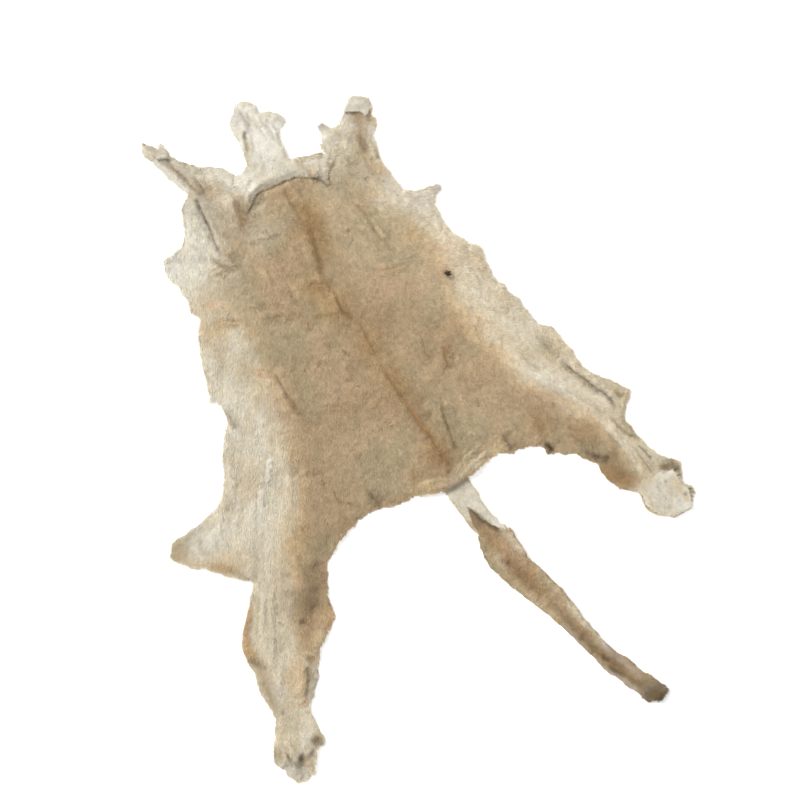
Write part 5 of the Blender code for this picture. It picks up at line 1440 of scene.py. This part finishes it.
@dataclass
class Coat:
    """The short lying coat, its fringe along the cut edge and its longer tufts.

    Sizes are in millimetres, and turns in radians.
    """

    leather: Leather
    markings: Markings
    locks_in_piece: int = 180_000
    pieces: tuple = ("coat_shoulders", "coat_back", "coat_loins", "coat_hindquarters")
    width: float = 2.4
    lift: float = math.radians(12.0)
    gain: float = 1.13
    lowest_tip: float = 0.5
    highest_tip: float = 31.4
    roll: float = 0.3
    turn_sizes: tuple = (34.0, 11.0)
    clump_size: float = 4.5
    root_shade: float = 0.82
    tip_shade: float = 1.05
    fringe_spacing: float = 0.8
    fringe_length: float = 7.5
    fringe_width: float = 1.5
    fringe_depth: float = 5.0
    fringe_stray: float = 0.45
    fringe_clump: float = 14.0
    usual_length: float = 13.0
    down_locks: int = 16_000
    down_length: float = 8.0
    down_width: float = 1.0
    down_stray: float = 0.3
    down_whorl: float = 60.0
    tuft_width: float = 1.7
    tuft_stray: float = 0.35
    tuft_rise: float = 0.8

    def __post_init__(self) -> None:
        """Sets up the coat's own chance."""
        self.chance = np.random.default_rng(SEED)

    def lie(self, points: np.ndarray) -> tuple[np.ndarray, np.ndarray, np.ndarray]:
        """Reads how the coat lies.

        Args:
            points: Places in the plan, one a row.

        Returns:
            The direction in plan, the length and the disorder at each point.
        """
        sums, total = np.zeros((len(points), 4)), np.zeros(len(points))
        for row in LIES:
            size = math.hypot(row.dx, row.dy)
            away = np.hypot(points[:, 0] - row.x, points[:, 1] - row.y)
            weight = 1.0 / (away + 25.0) ** 3
            values = (row.dx / size, row.dy / size, row.length, row.stray)
            sums += weight[:, None] * np.array(values)
            total += weight
        sums /= total[:, None]
        turns = np.arctan2(sums[:, 1], sums[:, 0])
        turns += 0.30 * lattice_noise(points, self.turn_sizes[0], SEED + 8)
        turns += 0.34 * lattice_noise(points, self.turn_sizes[1], SEED + 9)
        heading = np.stack((np.cos(turns), np.sin(turns)), axis=1)
        return heading, sums[:, 2], sums[:, 3]

    def comb(self, normals: np.ndarray, heading: np.ndarray, stray: np.ndarray,
             lift: np.ndarray) -> tuple[np.ndarray, np.ndarray]:
        """Lays hairs on the surface.

        Args:
            normals: The surface's normal at each root.
            heading: The direction in plan.
            stray: How far each hair may turn away from it, in radians.
            lift: How steeply each hair stands, in radians.

        Returns:
            The direction of each hair, and the direction across it.
        """
        count = len(normals)
        turn = self.chance.normal(0.0, 1.0, count) * stray
        cosine, sine = np.cos(turn), np.sin(turn)
        flat = np.zeros((count, 3))
        flat[:, 0] = heading[:, 0] * cosine - heading[:, 1] * sine
        flat[:, 1] = heading[:, 0] * sine + heading[:, 1] * cosine
        flat -= normals * np.sum(flat * normals, axis=1)[:, None]
        flat /= np.linalg.norm(flat, axis=1)[:, None]
        across = np.cross(normals, flat)
        roll = self.chance.normal(0.0, self.roll, count)[:, None]
        across = across * np.cos(roll) + normals * np.sin(roll)
        along = flat * np.cos(lift)[:, None] + normals * np.sin(lift)[:, None]
        return along, across

    def shades(self, points: np.ndarray, tones: np.ndarray) -> tuple[np.ndarray, np.ndarray]:
        """Varies the coat's colours from clump to clump and from lock to lock, and paints each
        lock darker at its root and lighter at its tip: painted shade deep in the coat and painted
        light on its top.

        Args:
            points: The place of each lock in the plan.
            tones: The linear colour there.

        Returns:
            The colours of the roots and of the tips.
        """
        clump = lattice_noise(points, self.clump_size, SEED + 10)
        single = self.chance.normal(0.0, 1.0, len(points))
        bright = self.gain * (1.0 + 0.08 * clump + 0.07 * single)
        warm = 1.0 + np.outer(self.chance.normal(0.0, 0.02, len(points)), (1.0, 0.0, -1.2))
        varied = tones * bright[:, None] * warm
        # root_shade darkens each root as painted shade, tip_shade lightens each tip as painted
        # light
        return varied * self.root_shade, varied * self.tip_shade

    def spread(self, triangles: np.ndarray, total: int) -> tuple[np.ndarray, np.ndarray]:
        """Scatters roots evenly over triangles of the leather, from the neck to the tail.

        Args:
            triangles: The corners of each triangle, as point numbers of the leather.
            total: How many roots to scatter.

        Returns:
            The roots and the normals there.
        """
        skin = self.leather
        corners = skin.places[triangles]
        normal = np.cross(corners[:, 1] - corners[:, 0], corners[:, 2] - corners[:, 0])
        share = np.linalg.norm(normal, axis=1)
        picked = self.chance.choice(len(share), total, p=share / share.sum())
        picked = picked[np.argsort(-corners[picked, 0, 1], kind="stable")]
        a, b = self.chance.random(total), self.chance.random(total)
        over = a + b > 1.0
        a, b = np.where(over, 1.0 - a, a), np.where(over, 1.0 - b, b)
        weights = np.stack((1.0 - a - b, a, b), axis=1)[:, :, None]
        roots = np.sum(skin.places[triangles[picked]] * weights, axis=1)
        normals = np.sum(skin.normals[triangles[picked]] * weights, axis=1)
        return roots, normals / np.linalg.norm(normals, axis=1)[:, None]

    def grow(self, roots: np.ndarray, normals: np.ndarray, heading: np.ndarray,
             stray: np.ndarray, lift: np.ndarray, length: np.ndarray, width: float,
             tones: np.ndarray) -> Locks:
        """Grows one lock from each root.

        Args:
            roots: Where the locks start, in metres.
            normals: The surface's normal there.
            heading: The direction in plan.
            stray: How far each lock may turn away from it, in radians.
            lift: How steeply each lock stands, in radians.
            length: The length of each lock in millimetres.
            width: The width of a lock's root in millimetres.
            tones: The linear colour at each root.

        Returns:
            The locks.
        """
        along, across = self.comb(normals, heading, stray, lift)
        tips = roots + along * length[:, None] * MM
        tips[:, 2] = np.clip(tips[:, 2], self.lowest_tip * MM, self.highest_tip * MM)
        uneven = self.chance.uniform(0.7, 1.2, len(roots))[:, None]
        sides = across * (0.5 * width * MM) * uneven
        return Locks(roots, sides, tips, *self.shades(to_plan(roots), tones))

    def cover(self) -> list[bpy.types.Object]:
        """Grows the lying coat over the fur side.

        Returns:
            Its pieces, from neck to tail.
        """
        total = self.locks_in_piece * len(self.pieces)
        roots, normals = self.spread(self.leather.fur_triangles, total)
        points = to_plan(roots)
        heading, length, stray = self.lie(points)
        length = length * self.chance.uniform(0.7, 1.15, total)
        lift = self.lift * self.chance.uniform(0.3, 1.6, total)
        tones = self.markings.coat(points)
        locks = self.grow(roots, normals, heading, stray, lift, length, self.width, tones)
        step = self.locks_in_piece
        return [
            locks.part(slice(i * step, (i + 1) * step)).piece(name)
            for i, name in enumerate(self.pieces)
        ]

    def fringe(self) -> Locks:
        """Grows the hairs that stick out past the cut edge.

        Returns:
            The locks.
        """
        skin = self.leather
        ends = skin.rim_edges[:, :2].astype(int)
        starts, stops = skin.places[ends[:, 0]], skin.places[ends[:, 1]]
        sizes = np.linalg.norm(stops - starts, axis=1) / MM
        each = np.maximum(1, np.round(sizes / self.fringe_spacing)).astype(int)
        which = np.repeat(np.arange(len(ends)), each)
        count = len(which)
        share = self.chance.random(count)[:, None]
        out = skin.rim_edges[which, 2:4]
        out = out / np.linalg.norm(out, axis=1)[:, None]
        roots = starts[which] * (1.0 - share) + stops[which] * share
        roots[:, :2] -= out * self.chance.uniform(0.0, self.fringe_depth, count)[:, None] * MM
        furred = skin.rim_edges[which, 4] == Side.FUR.value
        roots[:, 2] += np.where(furred, 0.5, -0.6) * MM
        points = to_plan(roots)
        heading, length, _ = self.lie(points)
        heading = heading * np.where(furred, 0.7, 0.2)[:, None] + out
        heading /= np.linalg.norm(heading, axis=1)[:, None]
        length = self.fringe_length * (length / self.usual_length)
        length *= self.chance.uniform(0.6, 1.35, count)
        length *= 1.0 + 0.6 * lattice_noise(points, self.fringe_clump, SEED + 11)
        length *= np.where(furred, 1.0, 1.1)
        coat = self.markings.coat(points)
        coat += (Tone.CREAM.linear() - coat) * 0.25
        tones = np.where(furred[:, None], coat, Tone.CREAM.linear())
        up, stray = np.tile(UP, (count, 1)), np.full(count, self.fringe_stray)
        lift = self.chance.normal(0.0, 0.2, count)
        return self.grow(roots, up, heading, stray, lift, length, self.fringe_width, tones)

    def down(self) -> Locks:
        """Grows the thin short down on the leather that is turned flesh side up.

        Returns:
            The locks.
        """
        count = self.down_locks
        roots, normals = self.spread(self.leather.flesh_triangles, count)
        points = to_plan(roots)
        turns = 2.6 * lattice_noise(points, self.down_whorl, SEED + 16)
        turns += self.chance.normal(0.0, 0.6, count)
        heading = np.stack((np.cos(turns), np.sin(turns)), axis=1)
        length = self.down_length * self.chance.uniform(0.5, 1.2, count)
        lift = self.chance.uniform(0.02, 0.2, count)
        tones = self.markings.flesh(points) * 0.92
        stray = np.full(count, self.down_stray)
        return self.grow(roots, normals, heading, stray, lift, length, self.down_width, tones)

    def tufts(self) -> Locks:
        """Grows the longer loose locks.

        Returns:
            The locks.
        """
        skin = self.leather
        used = np.unique(skin.fur_triangles)
        finder = KDTree(len(used))
        for i in used:
            finder.insert((skin.places[i, 0], skin.places[i, 1], 0.0), int(i))
        finder.balance()
        parts = []
        for row in TUFTS:
            centre = (np.array((row.x, row.y)) - PLAN_ORIGIN) * MM
            spots = centre + self.chance.normal(0.0, 0.5 * row.spread * MM, (row.hairs, 2))
            heading = np.tile((row.dx, row.dy), (row.hairs, 1)) / math.hypot(row.dx, row.dy)
            under = [finder.find((x, y, 0.0))[1] for x, y in spots]
            roots = np.column_stack((spots, skin.places[under, 2] + self.tuft_rise * MM))
            up, stray = np.tile(UP, (row.hairs, 1)), np.full(row.hairs, self.tuft_stray)
            lift = self.chance.normal(0.06, 0.12, row.hairs)
            length = row.length * self.chance.uniform(0.6, 1.1, row.hairs)
            tones = np.tile(row.tone.linear(), (row.hairs, 1))
            width = self.tuft_width
            parts.append(self.grow(roots, up, heading, stray, lift, length, width, tones))
        return Locks.joined(parts)

    def build(self) -> list[bpy.types.Object]:
        """Makes every piece of the coat and dresses it.

        Returns:
            The pieces.
        """
        finish = HairFinish().make()
        edging = Locks.joined([self.fringe(), self.tufts(), self.down()])
        made = [*self.cover(), edging.piece("coat_edging")]
        for piece in made:
            piece.data.materials.append(finish)
        return made


def math_node(tree: bpy.types.ShaderNodeTree, operation: str, first: bpy.types.NodeSocket,
              second: bpy.types.NodeSocket | float) -> bpy.types.NodeSocket:
    """Adds a step of reckoning to a shader.

    Args:
        tree: The shader's tree.
        operation: What to do with the two values.
        first: The output that gives the first value.
        second: The output that gives the second value, or the value itself.

    Returns:
        The output that gives the result.
    """
    node = tree.nodes.new("ShaderNodeMath")
    node.operation = operation
    tree.links.new(first, node.inputs[0])
    if isinstance(second, float):
        node.inputs[1].default_value = second
    else:
        tree.links.new(second, node.inputs[1])
    return node.outputs[0]


class Mottle:
    """The shared shader group that clouds a colour and gives small unevenness."""

    name = "mottle"
    details = (("Cloud", 4.0), ("Grain", 3.0))
    roughness = 0.6

    @classmethod
    def group(cls) -> bpy.types.ShaderNodeTree:
        """Builds the group when it is first asked for.

        Returns:
            The group.
        """
        tree = bpy.data.node_groups.get(cls.name)
        if tree:
            return tree
        tree = bpy.data.node_groups.new(cls.name, "ShaderNodeTree")
        sockets = tree.interface
        sockets.new_socket("Colour", in_out="INPUT", socket_type="NodeSocketColor")
        for label in ("Cloud Scale", "Cloud Amount", "Grain Scale", "Grain Amount"):
            sockets.new_socket(label, in_out="INPUT", socket_type="NodeSocketFloat")
        sockets.new_socket("Colour", in_out="OUTPUT", socket_type="NodeSocketColor")
        sockets.new_socket("Height", in_out="OUTPUT", socket_type="NodeSocketFloat")
        nodes, links = tree.nodes, tree.links
        entry, leave = nodes.new("NodeGroupInput"), nodes.new("NodeGroupOutput")
        where = nodes.new("ShaderNodeTexCoord")
        shifts = []
        for kind, detail in cls.details:
            texture = nodes.new("ShaderNodeTexNoise")
            texture.inputs["Detail"].default_value = detail
            texture.inputs["Roughness"].default_value = cls.roughness
            links.new(where.outputs["Object"], texture.inputs["Vector"])
            links.new(entry.outputs[f"{kind} Scale"], texture.inputs["Scale"])
            centred = math_node(tree, "SUBTRACT", texture.outputs["Fac"], 0.5)
            shifts.append(math_node(tree, "MULTIPLY", centred, entry.outputs[f"{kind} Amount"]))
        bright = math_node(tree, "ADD", math_node(tree, "ADD", *shifts), 1.0)
        tint = nodes.new("ShaderNodeVectorMath")
        tint.operation = "SCALE"
        links.new(entry.outputs["Colour"], tint.inputs[0])
        links.new(bright, tint.inputs["Scale"])
        links.new(tint.outputs["Vector"], leave.inputs["Colour"])
        links.new(texture.outputs["Fac"], leave.inputs["Height"])
        return tree


@dataclass(frozen=True)
class Finish:
    """A painted surface with clouding and fine unevenness."""

    name: str
    layer: str
    cloud_scale: float
    cloud_amount: float
    grain_scale: float
    grain_amount: float
    roughness: float
    bump: float
    sheen: float

    def make(self) -> bpy.types.Material:
        """Makes the finish a material: paint, clouds, uneven roughness and bumps.

        Returns:
            The material.
        """
        material = bpy.data.materials.new(self.name)
        material.use_nodes = True
        nodes, links = material.node_tree.nodes, material.node_tree.links
        shader = nodes["Principled BSDF"]
        paint_layer = nodes.new("ShaderNodeVertexColor")
        paint_layer.layer_name = self.layer
        mottle = nodes.new("ShaderNodeGroup")
        mottle.node_tree = Mottle.group()
        mottle.inputs["Cloud Scale"].default_value = self.cloud_scale
        mottle.inputs["Cloud Amount"].default_value = self.cloud_amount
        mottle.inputs["Grain Scale"].default_value = self.grain_scale
        mottle.inputs["Grain Amount"].default_value = self.grain_amount
        links.new(paint_layer.outputs["Color"], mottle.inputs["Colour"])
        links.new(mottle.outputs["Colour"], shader.inputs["Base Color"])
        rough = nodes.new("ShaderNodeMapRange")
        rough.inputs["To Min"].default_value = self.roughness - 0.1
        rough.inputs["To Max"].default_value = self.roughness + 0.1
        links.new(mottle.outputs["Height"], rough.inputs["Value"])
        links.new(rough.outputs["Result"], shader.inputs["Roughness"])
        if self.bump > 0.0:
            bump = nodes.new("ShaderNodeBump")
            bump.inputs["Distance"].default_value = self.bump * MM
            links.new(mottle.outputs["Height"], bump.inputs["Height"])
            links.new(bump.outputs["Normal"], shader.inputs["Normal"])
        shader.inputs["Specular IOR Level"].default_value = 0.25
        shader.inputs["Sheen Weight"].default_value = self.sheen
        shader.inputs["Sheen Roughness"].default_value = 0.5
        return material


@dataclass(frozen=True)
class GroundFinish(Finish):
    """The hair roots and skin under the coat."""

    name: str = "coat_ground"
    layer: str = "coat"
    cloud_scale: float = 24.0
    cloud_amount: float = 0.2
    grain_scale: float = 420.0
    grain_amount: float = 0.35
    roughness: float = 0.85
    bump: float = 1.2
    sheen: float = 0.0


@dataclass(frozen=True)
class HairFinish(Finish):
    """The hair of the coat."""

    name: str = "coat_hair"
    layer: str = "coat"
    cloud_scale: float = 30.0
    cloud_amount: float = 0.14
    grain_scale: float = 260.0
    grain_amount: float = 0.14
    roughness: float = 0.66
    bump: float = 0.0
    sheen: float = 0.1


@dataclass(frozen=True)
class FleshFinish(Finish):
    """The tanned flesh side."""

    name: str = "flesh_side"
    layer: str = "flesh"
    cloud_scale: float = 26.0
    cloud_amount: float = 0.16
    grain_scale: float = 170.0
    grain_amount: float = 0.12
    roughness: float = 0.7
    bump: float = 1.6
    sheen: float = 0.0


@dataclass(frozen=True)
class RimFinish(Finish):
    """The cut edge of the leather."""

    name: str = "cut_rim"
    layer: str = "flesh"
    cloud_scale: float = 60.0
    cloud_amount: float = 0.3
    grain_scale: float = 300.0
    grain_amount: float = 0.2
    roughness: float = 0.75
    bump: float = 1.0
    sheen: float = 0.0


@dataclass(frozen=True)
class FloorFinish:
    """The plain pale floor."""

    colour: float = 0.92
    roughness: float = 0.9
    glow: float = 0.42

    def make(self) -> bpy.types.Material:
        """Makes the finish a material.

        Returns:
            The material.
        """
        material = bpy.data.materials.new("pale_floor")
        material.use_nodes = True
        shader = material.node_tree.nodes["Principled BSDF"]
        shader.inputs["Base Color"].default_value = (self.colour, self.colour, self.colour, 1.0)
        shader.inputs["Emission Color"].default_value = (1.0, 1.0, 1.0, 1.0)
        shader.inputs["Emission Strength"].default_value = self.glow
        shader.inputs["Roughness"].default_value = self.roughness
        shader.inputs["Specular IOR Level"].default_value = 0.0
        return material


@dataclass
class Studio:
    """The floor, the soft light and the camera straight above the hide, with turns in radians."""

    picture_side: float = 800.0
    mm_per_pixel: float = 3.0
    picture_origin: tuple = (367.5, 332.5)
    turn: float = math.radians(-29.9)
    lens: float = 120.0
    sensor: float = 36.0
    far_clip: float = 100.0
    floor_size: float = 14.0
    floor_drop: float = 0.3
    key_strength: float = 2.9
    key_spread: float = math.radians(24.0)
    key_height: float = math.radians(40.0)
    key_heading: float = math.radians(118.0)
    key_distance: float = 4.0
    ambient: float = 0.56

    def plan_to_frame(self, x: float, y: float) -> tuple[float, float]:
        """Turns a plan place in millimetres into the frame's metres."""
        return (x - PLAN_ORIGIN[0]) * MM, (y - PLAN_ORIGIN[1]) * MM

    def camera(self) -> None:
        """Hangs the camera over the middle of the picture, turned as the photo is."""
        middle = 0.5 * self.picture_side
        right = (middle - self.picture_origin[0]) * self.mm_per_pixel
        up = (self.picture_origin[1] - middle) * self.mm_per_pixel
        cosine, sine = math.cos(self.turn), math.sin(self.turn)
        x, y = self.plan_to_frame(right * cosine - up * sine, right * sine + up * cosine)
        width = self.picture_side * self.mm_per_pixel * MM
        data = bpy.data.cameras.new("camera")
        data.lens = self.lens
        data.sensor_width = self.sensor
        data.clip_end = self.far_clip
        eye = bpy.data.objects.new("camera", data)
        eye.location = (x, y, width * self.lens / self.sensor)
        eye.rotation_euler = (0.0, 0.0, self.turn)
        bpy.context.scene.collection.objects.link(eye)
        bpy.context.scene.camera = eye

    def floor(self) -> None:
        """Lays the floor just under the hide."""
        mesh = bmesh.new()
        bmesh.ops.create_grid(mesh, x_segments=1, y_segments=1, size=0.5 * self.floor_size)
        bmesh.ops.translate(mesh, vec=(0.0, 0.0, -self.floor_drop * MM), verts=mesh.verts)
        data = bpy.data.meshes.new("floor")
        mesh.to_mesh(data)
        mesh.free()
        data.materials.append(FloorFinish().make())
        piece = bpy.data.objects.new("floor", data)
        bpy.context.scene.collection.objects.link(piece)

    def lights(self) -> None:
        """Sets a soft key light at the neck's side and an even light all round."""
        data = bpy.data.lights.new("key", "SUN")
        data.energy = self.key_strength
        data.angle = self.key_spread
        key = bpy.data.objects.new("key", data)
        level, rise = math.cos(self.key_height), math.sin(self.key_height)
        along, across = math.cos(self.key_heading), math.sin(self.key_heading)
        towards = Vector((level * along, level * across, rise))
        key.location = self.key_distance * towards
        key.rotation_euler = towards.to_track_quat("Z", "Y").to_euler()
        bpy.context.scene.collection.objects.link(key)
        world = bpy.data.worlds.new("studio")
        world.use_nodes = True
        background = world.node_tree.nodes["Background"]
        background.inputs["Color"].default_value = (1.0, 1.0, 1.0, 1.0)
        background.inputs["Strength"].default_value = self.ambient
        bpy.context.scene.world = world
        bpy.context.scene.view_settings.view_transform = "Standard"

    def build(self) -> None:
        """Makes the camera, floor and lights."""
        self.camera()
        self.floor()
        self.lights()


def declare(leather: bpy.types.Object, coat: list[bpy.types.Object]) -> None:
    """Tells the frame what the pieces stand for.

    Args:
        leather: The sheet.
        coat: The pieces of hair on it.
    """
    for piece in (leather, *coat):
        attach(piece, BODY)
    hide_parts(NODE)


def main() -> None:
    """Builds the studio, the leather and the coat, and reports each piece."""
    logging.basicConfig(level=logging.INFO, format="%(name)s %(message)s")
    Studio().build()
    markings = Markings()
    sheet = Leather()
    leather = sheet.build(markings)
    coat = Coat(sheet, markings).build()
    declare(leather, coat)


if __name__ == "__main__":
    main()
